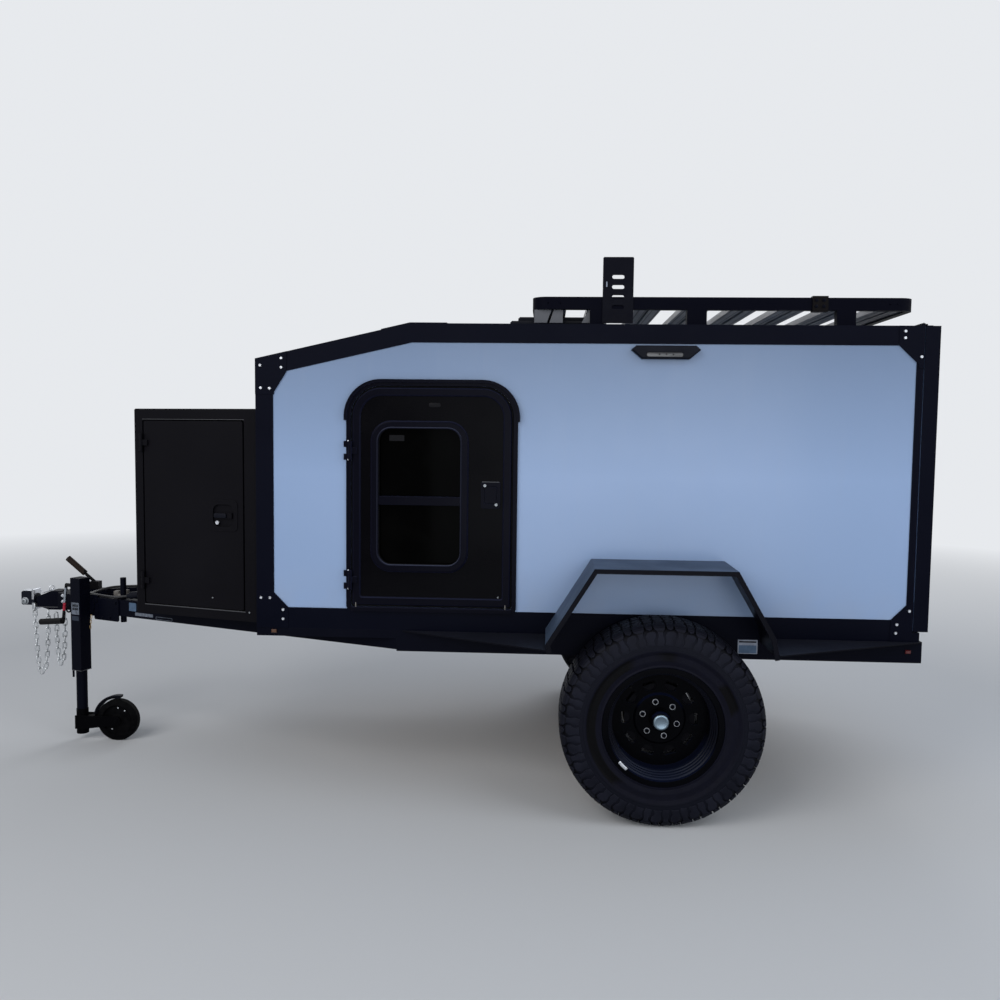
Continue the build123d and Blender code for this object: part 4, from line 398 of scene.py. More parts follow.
def crank_steel():
    """The jack's crank: a zinc arm with a red sleeve, then black down to the grip."""
    paint = Paint("crank_zinc_and_black")
    x, y, z = paint.axes()
    bright = (z > CRANK_RED_TOP) * (z < CRANK_ARM_TOP)
    red = (z > CRANK_RED_BOTTOM) * (z < CRANK_RED_TOP)
    black = paint.mix((0.0016, 0.0014, 0.0020), (0.0042, 0.0038, 0.0048), paint.noise(60, 3))
    base = paint.mix(black, (0.30, 0.33, 0.37), bright)
    return paint.finish(
        Base_Color=paint.mix(base, (0.34, 0.025, 0.045), red), Metallic=bright,
        Roughness=bright.ramp(0, 1, 0.5, 0.34), Specular_IOR_Level=0.1,
        Normal=paint.bump(paint.noise(400, 2), 0.1 * MM, paint.rounded(1 * MM)),
    )


def two_tone(name, first, second, border):
    """Coated metal whose colour changes past a place along the trailer."""
    paint = Paint(name)
    past = paint.axes()[0] > border
    worn = paint.edges(paint.rounded(1.2 * MM)) * paint.noise(60, 4).ramp(0.35, 0.65)
    base = paint.mix(paint.mix(first, second, past), (0.022, 0.021, 0.024), worn * 0.4)
    return paint.finish(
        Base_Color=base, Roughness=paint.grade(30, 3, 0.44, 0.58),
        Normal=paint.bump(paint.noise(500, 2), 0.1 * MM, paint.rounded(1.2 * MM)), Specular_IOR_Level=0.06,
    )


# Places where one CAD part changes its colour
CRANK_ARM_TOP, CRANK_RED_TOP, CRANK_RED_BOTTOM = 0.742, 0.668, 0.628
LEVER_GRIP_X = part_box("brake_lever")[1].x - 0.098
CLAMP_X = aft(2150)

PANEL = panel_sheet()
# Powder coats: name, colour, roughness, grain in mm, specular, dust, edge radius in mm, the colour on what
# faces up (dust on the step and guard, painted sky sheen on the fender, wheel and rim barrel), wear
TRIM = powder_coat("trim_powder_coat", (0.0010, 0.0015, 0.0058), 0.42, 0.05, 0.04, 0.2)
FRAME = powder_coat("chassis_powder_coat", (0.0014, 0.0018, 0.0056), 0.46, 0.07, 0.04, 0.25)
# The fender's bluish top is painted sky sheen
FENDER = powder_coat("fender_powder_coat", (0.0022, 0.0024, 0.0050), 0.4, 0.05, dust_and_sky_sheen=(0.050, 0.072, 0.115))
STEP = powder_coat("step_powder_coat", (0.0022, 0.0024, 0.0050), 0.45, 0.06, dust_and_sky_sheen=(0.010, 0.011, 0.017))
BOX = powder_coat("box_texture_coat", (0.0030, 0.0028, 0.0044), 0.55, 0.12)
RACK = powder_coat("rack_powder_coat", (0.0007, 0.0009, 0.0042), 0.5, 0.08, 0.03, 0.15)
# The wheel's and rim barrel's bluish up-facing faces are painted sky sheen
WHEEL = powder_coat(
    "wheel_enamel", (0.0007, 0.0008, 0.0016), 0.3, 0.03, 0.03, 0.2, dust_and_sky_sheen=(0.0045, 0.0065, 0.0190)
)
BARREL = powder_coat(
    "rim_barrel_enamel", (0.0022, 0.0026, 0.0060), 0.3, 0.02, 0.06, 0.2, 1.2, (0.0080, 0.0110, 0.0240), 1.0
)
# A pale grey coat for worn edges, also used for strips that are painted highlights on edges
EDGE = powder_coat("worn_edge_and_highlight_coat", (0.055, 0.056, 0.062), 0.4, 0.03, 0.2)
HEAD = powder_coat("coupler_black_coat", (0.0035, 0.0045, 0.0095), 0.4, 0.05, 0.1)
TRAY_GREY = powder_coat("rack_corner_plate_grey", (0.085, 0.088, 0.10), 0.45, 0.05, 0.2)
GUARD = powder_coat(
    "guard_powder_coat", (0.0034, 0.0038, 0.0075), 0.45, 0.06, 0.04, 0.3, 1.6, (0.020, 0.023, 0.032), 0.9
)
CASTER_COAT = powder_coat("caster_coat", (0.0012, 0.0012, 0.0018), 0.5, 0.06, 0.02, 0.1)
DOOR = gloss_black()
# The window trim's inner edge carries a painted highlight where it faces up or forwards
WINDOW_TRIM = lit_trim("window_trim_enamel", (0.0045, 0.0050, 0.0115), (0.050, 0.058, 0.095))
GLASS = tinted_glass()
ZINC = bare_steel("zinc_plate", (0.62, 0.64, 0.68), 0.34)
CAP_STEEL = bare_steel("hub_cap_steel", (0.19, 0.25, 0.30), 0.34, 0.25)
CAST = bare_steel("dull_drum_iron", (0.0065, 0.0065, 0.0080), 0.6)
SHIELD = bare_steel("brake_shield_steel", (0.17, 0.17, 0.18), 0.46)
GALVANISED = bare_steel("galvanised_link", (0.30, 0.32, 0.34), 0.42)
BRASS = bare_steel("brass_link", (0.40, 0.27, 0.12), 0.4)
CHAIN_ZINC = bare_steel("chain_zinc", (0.58, 0.60, 0.62), 0.38, 0.8)
PLASTIC = moulded_plastic("black_plastic", (0.0038, 0.0044, 0.0085))
GREY_PLASTIC = moulded_plastic("grey_connector", (0.16, 0.15, 0.14))
CRANK = crank_steel()
LEVER = two_tone("lever_black_and_grip", (0.0025, 0.0025, 0.0030), (0.020, 0.014, 0.012), LEVER_GRIP_X)
BRACKET = two_tone("bracket_black_clamp_dark", (0.0022, 0.0014, 0.0018), (0.0010, 0.0012, 0.0044), CLAMP_X)
MARKER_LENS = lens_plastic("marker_lens", (0.10, 0.010, 0.010), (0.10, 0.034, 0.008))
RED_LENS = lens_plastic("red_lens", (0.30, 0.012, 0.01))
CLEAR_LENS = lens_plastic("clear_lens", (0.045, 0.045, 0.052))
TYRE = tyre_rubber("tyre_rubber", False)
LUG_RUBBER = tyre_rubber("tyre_lug_rubber", True)
RUBBER = plain_rubber("seal_rubber", (0.0022, 0.0022, 0.0024))
CASTER_TREAD = plain_rubber("caster_rubber", (0.0010, 0.0010, 0.0014), specular=0.03)
JACKET = plain_rubber("lead_jacket", (0.018, 0.018, 0.020), 0.4, 0.4)
PLY = plywood()
SLAT = slat_metal()
LABEL = blank_label("blank_label", (0.27, 0.30, 0.37))
JACK_LABEL = blank_label("blank_label_worn", (0.15, 0.17, 0.21), 0.25)
DIM_LABEL = blank_label("blank_label_in_shade", (0.030, 0.038, 0.056))
BLUE_LABEL = blank_label("blank_label_blue", (0.085, 0.135, 0.215))
DARK_LABEL = blank_label("blank_label_dark", (0.0035, 0.0035, 0.0050))

NODE_FINISHES = {
    PANEL: ["side_wall_left", "side_wall_right", "front_wall", "roof", "rear_hatch"],
    TRIM: ["edge_trims", "roof_seam", "hatch_trim", "hatch_hinge", "rear_frame", "rear_sill"],
    FRAME: [
        "main_rails", "corner_rails", "tongue_legs", "tongue_nose", "cross_members", "coupler_body",
        "jack_housing", "jack_leg", "axle_beam", "trailing_arms",
    ],
    CASTER_COAT: ["jack_caster"],
    FENDER: ["fender_left", "fender_right"],
    STEP: ["side_steps"],
    DOOR: ["door_frame_left", "door_frame_right", "entry_door_left", "entry_door_right"],
    GLASS: ["door_glass_left", "door_glass_right"],
    BOX: ["storage_box", "storage_door_left", "storage_door_right", "storage_hinges"],
    RACK: ["rack_frame"],
    BRACKET: ["accessory_bracket"],
    SLAT: ["rack_slats"],
    WHEEL: ["wheel_left", "wheel_right"],
    CAST: ["hub_left", "hub_right"],
    HEAD: ["coupler_head"],
    CRANK: ["jack_crank"],
    LEVER: ["brake_lever"],
    PLASTIC: ["roof_vent", "porch_lights", "lead_plug"],
    MARKER_LENS: ["marker_lights"],
    RED_LENS: ["tail_lights"],
    PLY: ["floor_deck", "galley_cabinet"],
    CASTER_TREAD: ["jack_wheel"],
}
for finish, names in NODE_FINISHES.items():
    for name in names:
        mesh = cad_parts[name].data
        mesh.materials.clear()
        mesh.materials.append(finish)


# Ways to make a piece
def activate(piece):
    """Selects one object alone and makes it the active one."""
    bpy.ops.object.select_all(action="DESELECT")
    piece.select_set(True)
    bpy.context.view_layer.objects.active = piece


def choose(piece, kind, test):
    """Leaves edit mode open on a piece, with the faces, edges or points that pass a test selected."""
    activate(piece)
    bpy.ops.object.mode_set(mode="EDIT")
    bpy.ops.mesh.select_mode(type=kind)
    bpy.ops.mesh.select_all(action="DESELECT")
    bpy.ops.object.mode_set(mode="OBJECT")
    mesh = piece.data
    for item in {"FACE": mesh.polygons, "EDGE": mesh.edges, "VERT": mesh.vertices}[kind]:
        item.select = test(item)
    bpy.ops.object.mode_set(mode="EDIT")


def leave():
    bpy.ops.object.mode_set(mode="OBJECT")


def settle(piece):
    """Moves a piece's place, turn and scale into its mesh, and gives it back."""
    activate(piece)
    bpy.ops.object.transform_apply(location=True, rotation=True, scale=True)
    return piece


def outward(piece, merge=1e-5):
    """Merges doubles and turns the faces outwards."""
    choose(piece, "VERT", lambda point: True)
    bpy.ops.mesh.remove_doubles(threshold=merge)
    bpy.ops.mesh.normals_make_consistent(inside=False)
    leave()


def bevel(piece, width, segments=2, angle=35):
    """Rounds a piece's sharp edges with an applied Bevel modifier."""
    activate(piece)
    modifier = piece.modifiers.new("rounding", "BEVEL")
    modifier.width, modifier.segments = width, segments
    modifier.limit_method, modifier.angle_limit = "ANGLE", radians(angle)
    bpy.ops.object.modifier_apply(modifier=modifier.name)


def complete(piece, name, finish, body="trailer", smooth=35):
    """Names a piece, gives it its finish and lets it ride on a body."""
    settle(piece)
    bpy.ops.object.shade_smooth_by_angle(angle=radians(smooth))
    piece.name = piece.data.name = name
    piece.data.materials.clear()
    piece.data.materials.append(finish)
    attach(piece, body)


def joined(pieces):
    """Several objects as one."""
    activate(pieces[0])
    for piece in pieces:
        piece.select_set(True)
    if len(pieces) > 1:
        bpy.ops.object.join()
    return bpy.context.view_layer.objects.active


def placed(name, data):
    """An object in the scene that holds a mesh, curve, lamp or camera."""
    piece = bpy.data.objects.new(name, data)
    bpy.context.scene.collection.objects.link(piece)
    return piece


def duplicate(piece, matrix=Matrix()):
    """A copy of a piece with its own mesh, carried by a matrix."""
    copy = piece.copy()
    copy.data = piece.data.copy()
    copy.data.transform(matrix)
    bpy.context.scene.collection.objects.link(copy)
    return copy


def copies(piece, matrices):
    """One object with a copy of a piece at each matrix."""
    made = [duplicate(piece, matrix) for matrix in matrices]
    bpy.data.objects.remove(piece)
    return joined(made)


def mirrored(piece):
    """A copy of a piece on the trailer's other side, with its faces turned back outwards."""
    copy = duplicate(piece, Matrix.Diagonal((1, -1, 1, 1)))
    copy.data.flip_normals()
    return copy


def block(low, high, rounding=0.0, segments=2):
    """A box between two corners, with its edges rounded."""
    low, high = Vector(low), Vector(high)
    bpy.ops.mesh.primitive_cube_add(size=1, location=(low + high) / 2)
    piece = bpy.context.active_object
    piece.scale = high - low
    settle(piece)
    if rounding:
        bevel(piece, rounding, segments)
    return piece


# The turn that lays a primitive's axis along Y
ALONG_Y = (pi / 2, 0, 0)


def drum(centre, radius, depth, sides, rounding=0.0):
    """A round bar along Y, with rounded rims."""
    bpy.ops.mesh.primitive_cylinder_add(
        vertices=sides, radius=radius, depth=depth, location=centre, rotation=ALONG_Y
    )
    piece = settle(bpy.context.active_object)
    if rounding:
        bevel(piece, rounding, 2, 50)
    return piece


def lathe(profile, centre=(0, 0, 0), steps=96):
    """A profile of (Y, radius) points in millimetres, spun about the Y line through a centre."""
    x, y, z = centre
    mesh = bpy.data.meshes.new("profile")
    points = [(x, y + along * MM, z + radius * MM) for along, radius in profile]
    mesh.from_pydata(points, [(index, index + 1) for index in range(len(points) - 1)], [])
    piece = placed("profile", mesh)
    choose(piece, "VERT", lambda point: True)
    bpy.ops.mesh.spin(steps=steps, angle=2 * pi, center=(x, 0, z), axis=(0, 1, 0))
    leave()
    outward(piece)
    return piece


def outline(corners):
    """An object with one flat face."""
    mesh = bpy.data.meshes.new("outline")
    mesh.from_pydata(corners, [], [list(range(len(corners)))])
    return placed("outline", mesh)


def both_sides(piece, name, finish, body="trailer", smooth=35):
    """A piece on the trailer's left and its mirror image on the right; SIDE in a body's name is its side."""
    other = mirrored(piece)
    for part, side in ((piece, "left"), (other, "right")):
        complete(part, f"{name}_{side}", finish, body.replace("SIDE", side), smooth)
    return piece, other


def moved(piece, matrix):
    """A piece taken from the origin to its place."""
    piece.data.transform(matrix)
    return piece


def plate(width, height, thickness, corner, place, rounding=0.0):
    """A flat plate with rounded corners, its sizes in millimetres, its back on a place that faces +Y."""
    half = Vector((width, 0, height)) * MM / 2
    piece = block(-half, half + Vector((0, thickness * MM, 0)))
    if corner:
        choose(piece, "EDGE", lambda edge: upright(piece, edge, "y"))
        bpy.ops.mesh.bevel(offset=corner * MM, segments=5)
        leave()
    if rounding:
        bevel(piece, rounding * MM, 2, 50)
    return moved(piece, place)


def upright(piece, edge, axis):
    """Whether an edge runs along an axis."""
    first, second = (piece.data.vertices[index].co for index in edge.vertices)
    run = second - first
    return abs(getattr(run, axis)) > 0.9 * run.length


def ring(radius, wire, sides=32):
    """A closed ring of round wire about Y, at the origin."""
    bpy.ops.mesh.primitive_torus_add(
        major_segments=sides, minor_segments=10, major_radius=radius, minor_radius=wire, rotation=ALONG_Y
    )
    return settle(bpy.context.active_object)


def bar(start, end, radius, sides):
    """A round bar between two points."""
    start, end = Vector(start), Vector(end)
    run = end - start
    middle = (start + end) / 2
    bpy.ops.mesh.primitive_cylinder_add(vertices=sides, radius=radius, depth=run.length, location=middle)
    piece = bpy.context.active_object
    piece.rotation_mode = "QUATERNION"
    piece.rotation_quaternion = run.to_track_quat("Z", "Y")
    return settle(piece)


# Places on the trailer; the storage box's sides taper towards its front
BOX_FRONT_X = FRONT_X + 0.635
BOX_FRONT_HALF = 0.498
BOX_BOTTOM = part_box("storage_door_left")[0].z - 0.047
BOX_TAPER = atan2(0.168, 0.596)
LEG_TURN = Matrix.Rotation(-LEG_ANGLE, 4, "Z")
BOX_TURN = Matrix.Rotation(-BOX_TAPER, 4, "Z")


def shift(x, y, z):
    """A matrix that moves by millimetres."""
    return Matrix.Translation((x * MM, y * MM, z * MM))


def on_side(s, z, y=SIDE_Y):
    """A place on the left side: millimetres aft and up, at a Y."""
    return Matrix.Translation((aft(s), y, z * MM))


def on_leg(ahead, z, out=0.0):
    """A place on the left tongue leg's outer face, in millimetres."""
    return Matrix.Translation((aft(-ahead), leg_outer_y(ahead), z * MM)) @ LEG_TURN @ shift(0, out, 0)


def on_box(along, rise, out=0.0):
    """A place on the storage box's left side: millimetres back from its front corner, up and out."""
    corner = Matrix.Translation((BOX_FRONT_X, BOX_FRONT_HALF, BOX_BOTTOM))
    return corner @ BOX_TURN @ shift(-along, out, rise)


def on_jack(along, across, z):
    """A place by the jack's axis, along the leg and outwards from it, in millimetres."""
    return Matrix.Translation((JACK_X, JACK_Y, z * MM)) @ LEG_TURN @ shift(along, across, 0)


# Fasteners, each at the origin, facing +Y, and in millimetres
def crown(piece, inset, rise, hollow=0.0):
    """Cuts the corners of a piece's +Y face, and sinks a hollow 5 mm deep in it."""
    choose(piece, "FACE", lambda face: face.normal.y > 0.9)
    bpy.ops.mesh.inset(thickness=inset * MM)
    bpy.ops.transform.translate(value=(0, rise * MM, 0))
    if hollow:
        bpy.ops.mesh.inset(thickness=hollow * MM)
        bpy.ops.mesh.extrude_region_move(TRANSFORM_OT_translate={"value": (0, -5 * MM, 0)})
    leave()
    return piece


def socket_bolt(radius, height):
    """A button-head bolt with its socket sunk in."""
    bolt = drum((0, height * MM / 2, 0), radius * MM, height * MM, 20)
    choose(bolt, "FACE", lambda face: face.normal.y > 0.9)
    bpy.ops.transform.resize(value=(0.72, 1, 0.72))
    bpy.ops.mesh.inset(thickness=radius * MM * 0.34)
    bpy.ops.mesh.extrude_region_move(TRANSFORM_OT_translate={"value": (0, -height * MM * 0.5, 0)})
    leave()
    return bolt


def hex_bolt(radius, height):
    """A hexagon bolt head on its washer, with its corners cut."""
    washer = drum((0, 1 * MM, 0), radius * 1.45 * MM, 2 * MM, 24, 0.4 * MM)
    head = drum((0, (2 + height / 2) * MM, 0), radius * MM, height * MM, 6)
    return joined([washer, crown(head, radius * 0.14, height * 0.14)])


def rivet(radius):
    """A domed rivet head."""
    radius *= MM
    head = drum((0, radius * 0.3, 0), radius, radius * 0.6, 16)
    choose(head, "FACE", lambda face: face.normal.y > 0.9)
    bpy.ops.mesh.bevel(offset=radius * 0.42, segments=3)
    leave()
    return head


def wheel_nut():
    """A wheel nut with its corners cut."""
    return crown(drum((0, 4.5 * MM, 0), 8.6 * MM, 9 * MM, 6), 1.2, 1.2, 1.6)


def lock(profile, steps, slot):
    """A lock's spun face with a key slot: its half width, front and back, half height and rounding."""
    x, back, front, z, rounding = (size * MM for size in slot)
    return joined([lathe(profile, steps=steps), block((-x, back, -z), (x, front, z), rounding)])


# The camera stands where the photo was taken
LENS = 33.14
CAMERA_PLACE = Vector((-0.556, 4.520, 1.518))
CAMERA_PITCH, CAMERA_YAW, CAMERA_ROLL = radians(4.05), radians(2.95), radians(0.66)


def make_camera():
    forward = Vector((
        sin(CAMERA_YAW) * cos(CAMERA_PITCH), -cos(CAMERA_YAW) * cos(CAMERA_PITCH), -sin(CAMERA_PITCH)
    ))
    right = forward.cross(Vector((0, 0, 1))).normalized()
    up = right.cross(forward)
    rolled_right = right * cos(CAMERA_ROLL) + up * sin(CAMERA_ROLL)
    rolled_up = up * cos(CAMERA_ROLL) - right * sin(CAMERA_ROLL)
    data = bpy.data.cameras.new("photo_camera")
    data.lens, data.sensor_width, data.sensor_fit = LENS, 36, "HORIZONTAL"
    camera = placed("photo_camera", data)
    turn = Matrix((rolled_right, rolled_up, -forward)).transposed()
    camera.matrix_world = Matrix.Translation(CAMERA_PLACE) @ turn.to_4x4()
    bpy.context.scene.camera = camera


BACKDROP = (0.80, 0.82, 0.85)
SKY, SKY_STRENGTH = (0.86, 0.92, 1.0), 0.34
GROUND = (0.62, 0.63, 0.65)
# Where the floor begins to fade into the backdrop and where it has, in metres from the origin
FADE = (3.5, 11.0)
LAMP_AIM = Vector((0, 0, 0.9))
# Name, place, width in metres, watts, colour
LAMPS = (
    ("key_lamp", (3.2, 5.5, 4.6), 4.5, 205, (1.0, 0.98, 0.95)),
    ("fill_lamp", (-4.6, 3.2, 3.6), 4.0, 84, (0.92, 0.96, 1.0)),
    ("low_fill_lamp", (-1.2, 7.0, 1.2), 4.0, 112, (0.90, 0.95, 1.0)),
    ("back_lamp", (-1.5, -5.5, 5.0), 4.5, 160, (0.95, 0.97, 1.0)),
)


def make_studio():
    """A pale floor that fades into the backdrop, a soft sky and the lamps."""
    bpy.context.scene.view_settings.view_transform = "Standard"
    world = bpy.data.worlds.new("studio")
    bpy.context.scene.world = world
    world.use_nodes = True
    nodes = world.node_tree.nodes
    nodes.clear()
    rays = nodes.new("ShaderNodeLightPath").outputs
    seen, other = nodes.new("ShaderNodeMath"), nodes.new("ShaderNodeMath")
    seen.operation = other.operation = "MAXIMUM"
    light, shown = nodes.new("ShaderNodeBackground"), nodes.new("ShaderNodeBackground")
    light.inputs["Color"].default_value = (*SKY, 1)
    light.inputs["Strength"].default_value = SKY_STRENGTH
    shown.inputs["Color"].default_value = (*BACKDROP, 1)
    pick = nodes.new("ShaderNodeMixShader")
    for output, socket in (
        (rays["Is Camera Ray"], seen.inputs[0]), (other.outputs[0], seen.inputs[1]),
        (rays["Is Glossy Ray"], other.inputs[0]), (rays["Is Transmission Ray"], other.inputs[1]),
        (seen.outputs[0], pick.inputs[0]), (light.outputs[0], pick.inputs[1]),
        (shown.outputs[0], pick.inputs[2]),
        (pick.outputs[0], nodes.new("ShaderNodeOutputWorld").inputs["Surface"]),
    ):
        world.node_tree.links.new(output, socket)

    bpy.ops.mesh.primitive_circle_add(vertices=96, radius=40, fill_type="NGON", location=(0, 0, 0))
    floor = bpy.context.active_object
    floor.name = "studio_floor"
    paint = Paint("studio_floor")
    x, y, z = paint.axes()
    distance = (x * x + y * y) ** 0.5
    ground = paint.node("BsdfDiffuse", {}, {"Color": GROUND})
    haze = paint.node("Emission", {}, {"Color": BACKDROP, "Strength": 1.0})
    surface = paint.node("MixShader", {}, {0: distance.ramp(*FADE), 1: ground, 2: haze})
    paint.node("OutputMaterial", {}, {"Surface": surface})
    floor.data.materials.append(paint.material)

    for name, place, size, watts, colour in LAMPS:
        data = bpy.data.lights.new(name, "AREA")
        data.size, data.energy, data.color = size, watts, colour
        lamp = placed(name, data)
        lamp.location = place
        lamp.rotation_mode = "QUATERNION"
        lamp.rotation_quaternion = (LAMP_AIM - Vector(place)).to_track_quat("-Z", "Y")


# The trailer lead, over the tongue from the storage box to its plug.
# Its points are in millimetres ahead of the cabin, across, and up
LEAD_DIAMETER = 12 * MM
LEAD_ROUTE = (
    (665, -250, 735), (716, -250, 735), (768, -225, 714), (836, -194, 707.4), (910, -160, 707.4),
    (984, -131, 708), (1038, -90, 709.5), (1072, -32, 702), (1078, 33, 701), (1054, 92, 709.5),
    (1000, 134, 708), (932, 168, 707.4), (872, 198, 709), (815, 204, 718.3),
)


def make_lead():
    curve = bpy.data.curves.new("tongue_lead_jacket", "CURVE")
    curve.dimensions = "3D"
    curve.bevel_depth, curve.bevel_resolution, curve.resolution_u = LEAD_DIAMETER / 2, 5, 10
    curve.use_fill_caps = True
    line = curve.splines.new("NURBS")
    line.points.add(len(LEAD_ROUTE) - 1)
    for point, (ahead, y, z) in zip(line.points, LEAD_ROUTE):
        point.co = (aft(-ahead), y * MM, z * MM, 1)
    line.order_u = 3
    line.use_endpoint_u = True
    lead = placed("tongue_lead_jacket", curve)
    curve.materials.append(JACKET)
    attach(lead, "trailer")
    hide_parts("tongue_lead")
    ahead, y, z = LEAD_ROUTE[0]
    aft(-ahead)


# The tyres: the carcass's profile from the tread's middle to the bead, as millimetres off the wheel's middle
# and radii, and the bead's foot
CARCASS = (
    (0, 391.5), (60, 391.2), (88, 389.5), (104, 385), (114, 376), (121, 362), (126, 345), (128.8, 330),
    (129.9, 316), (130.2, 309), (132, 307), (132.3, 301), (131.6, 298), (130, 296), (128.6, 287),
    (127.5, 285.5), (127, 268), (127.5, 266), (126.5, 258), (123.5, 250), (122.5, 244), (124.2, 240),
    (124.2, 236.5), (121, 235), (112, 235),
)
BEAD_FOOT = (104, 219)
PITCHES = 30
PITCH_LENGTH = 2 * pi * CARCASS[0][1] * MM / PITCHES
# Lug outlines over one pitch: along the tread as a share of the pitch, and across from the tread's middle
LUGS = (
    ((0.02, 3), (0.16, -18), (0.42, -20), (0.47, -4), (0.40, 14), (0.24, 22), (0.06, 20)),
    ((0.52, -22), (0.80, -16), (0.94, 2), (0.90, 18), (0.62, 22), (0.55, 6)),
    ((0.00, 32), (0.22, 28), (0.44, 30), (0.48, 52), (0.36, 62), (0.12, 58), (0.04, 48)),
    ((0.52, 30), (0.88, 28), (0.94, 44), (0.88, 60), (0.60, 62), (0.56, 48)),
    ((0.03, 68), (0.50, 69), (0.55, 96), (0.52, 112), (0.38, 122), (0.34, 136), (0.42, 152),
     (0.44, 174), (0.10, 176), (0.04, 158), (0.12, 140), (0.12, 124), (0.02, 112), (-0.01, 96)),
    ((0.60, 70), (0.93, 70), (0.94, 94), (0.90, 110), (0.76, 117), (0.62, 110), (0.62, 92)),
    ((0.48, 126), (0.60, 120), (0.90, 124), (1.00, 138), (0.95, 158), (1.00, 172), (0.56, 174),
     (0.62, 154), (0.50, 142)),
)
# Where lugs are cut so that they bend: across in millimetres, and along as a share of the pitch
LUG_CUTS = (80, 92, 100, 108, 116, 124, 132, 142, 152, 162)
PITCH_CUTS = (0.25, 0.5, 0.75)
# A lug's height, how deep its foot is in the carcass, and how it thins down the shoulder, in millimetres
LUG_HEIGHT, LUG_ROOT = 10.2, 0.8
SHOULDER_START, SHOULDER_RUN, SHOULDER_LEAST = 96, 70, 0.26
LUG_MODEL_HEIGHT = 10 * MM


def along_profile(distance):
    """A point on the carcass and its outward normal, a distance in millimetres from the tread's middle."""
    side = -1 if distance < 0 else 1
    left = abs(distance)
    for (y, radius), (next_y, next_radius) in zip(CARCASS, CARCASS[1:]):
        length = hypot(next_y - y, next_radius - radius)
        if left <= length:
            break
        left -= length
    share = left / length
    ny, nr = -(next_radius - radius) / length, (next_y - y) / length
    return side * (y + (next_y - y) * share), radius + (next_radius - radius) * share, side * ny, nr


def make_lug(points, side):
    """A flat lug on one side of the tread: along it in X, across it in Y, and out of it in Z."""
    lug = outline([(share, side * across, 0) for share, across in points])
    choose(lug, "FACE", lambda face: True)
    bpy.ops.mesh.extrude_region_move(TRANSFORM_OT_translate={"value": (0, 0, 1)})
    cuts = [((0, side * cut, 0), (0, 1, 0)) for cut in LUG_CUTS]
    cuts += [((cut, 0, 0), (1, 0, 0)) for cut in PITCH_CUTS]
    for place, normal in cuts:
        bpy.ops.mesh.select_all(action="SELECT")
        bpy.ops.mesh.bisect(plane_co=place, plane_no=normal)
    leave()
    lug.data.transform(Matrix.Diagonal((PITCH_LENGTH, MM, LUG_MODEL_HEIGHT, 1)))
    outward(lug, 1e-6)
    bevel(lug, 1.3 * MM, 1, 50)
    return lug


def wrap(lug, turns):
    """Bends a flat lug on to the carcass's profile, some pitches round from the top."""
    for point in lug.data.vertices:
        share, across = point.co.x / PITCH_LENGTH, point.co.y / MM
        y, radius, normal_y, normal_r = along_profile(across)
        past = abs(across) - SHOULDER_START
        thinned = 1.0 if past < 0 else max(1 - past / SHOULDER_RUN, SHOULDER_LEAST)
        rise = point.co.z / LUG_MODEL_HEIGHT
        height = (rise * LUG_HEIGHT - LUG_ROOT) * thinned if rise > 0.5 else -LUG_ROOT
        y, radius = (y + normal_y * height) * MM, (radius + normal_r * height) * MM
        angle = 2 * pi * (turns + share) / PITCHES
        point.co = Vector(WHEEL_CENTRE) + Vector((radius * sin(angle), y, radius * cos(angle)))


def make_tyres():
    """The tyres: a spun carcass and its lugs, made on the left and mirrored."""
    right_half = [(-y, radius) for y, radius in reversed(CARCASS[1:])]
    foot_y, foot_radius = BEAD_FOOT
    feet = [(foot_y, foot_radius), (-foot_y, foot_radius)]
    carcass = lathe(right_half + list(CARCASS) + feet + right_half[:1], WHEEL_CENTRE, 168)

    wrapped = []
    for side in (1, -1):
        for points in LUGS:
            lug = make_lug(points, side)
            for pitch in range(PITCHES):
                copy = duplicate(lug)
                wrap(copy, pitch + (0.5 if side < 0 else 0))
                wrapped.append(copy)
            bpy.data.objects.remove(lug)
    lugs = joined(wrapped)
    outward(lugs, 1e-6)
    both_sides(lugs, "tyre_tread_lugs", LUG_RUBBER, "wheel_SIDE", 30)
    carcasses = both_sides(carcass, "tyre_carcass", TYRE, "wheel_SIDE", 30)
    for piece, side in zip(carcasses, ("left", "right")):
        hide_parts(f"tyre_{side}")


# Bolts on the corner gussets: millimetres aft and up
GUSSET_BOLTS = (
    (22, 1792), (110, 1822), (110, 1784), (24, 1700), (61, 1698), (20, 828), (58, 828), (113, 779),
    (113, 740), (2613, 1945), (2613, 1919), (2679, 1845), (2674, 827), (2626, 771), (2623, 736),
)


def make_gusset_bolts():
    bolts = copies(socket_bolt(7, 4.5), [on_side(s, z, GUSSET_Y) for s, z in GUSSET_BOLTS])
    both_sides(bolts, "gusset_bolts", ZINC)


# Wheels: profiles as millimetres out from the wheel's middle, or the piece's foot, and radii
CAP_SKIRT = (
    (38, 38.5), (39, 39.4), (41, 39.4), (42, 38.4), (50, 36.2), (53.4, 35.2), (54.2, 34.2), (54.2, 31.8),
    (50, 30), (38, 38.5),
)
CAP = (
    (53, 31.6), (57.6, 31.4), (60.2, 30), (61.8, 27.2), (62.4, 24), (62.2, 22.4), (61.6, 21.4), (61.2, 20.4),
    (61.2, 0.4),
)
NUT_SEAT = ((0, 12), (1.6, 11.9), (2.6, 11.2), (2.6, 9.9), (1.8, 9.2), (0, 9.1), (0, 12))
BRAKE_SHIELD = ((0, 142), (0, 184), (9, 184), (9, 182), (2, 180), (2, 142), (0, 142))
NUT_CIRCLE = 69.85
# The rim's barrel is a cone with steps: each step's two ends
BARREL_STEPS = ((45, 62), (62, 78), (78, 94), (94, 109))
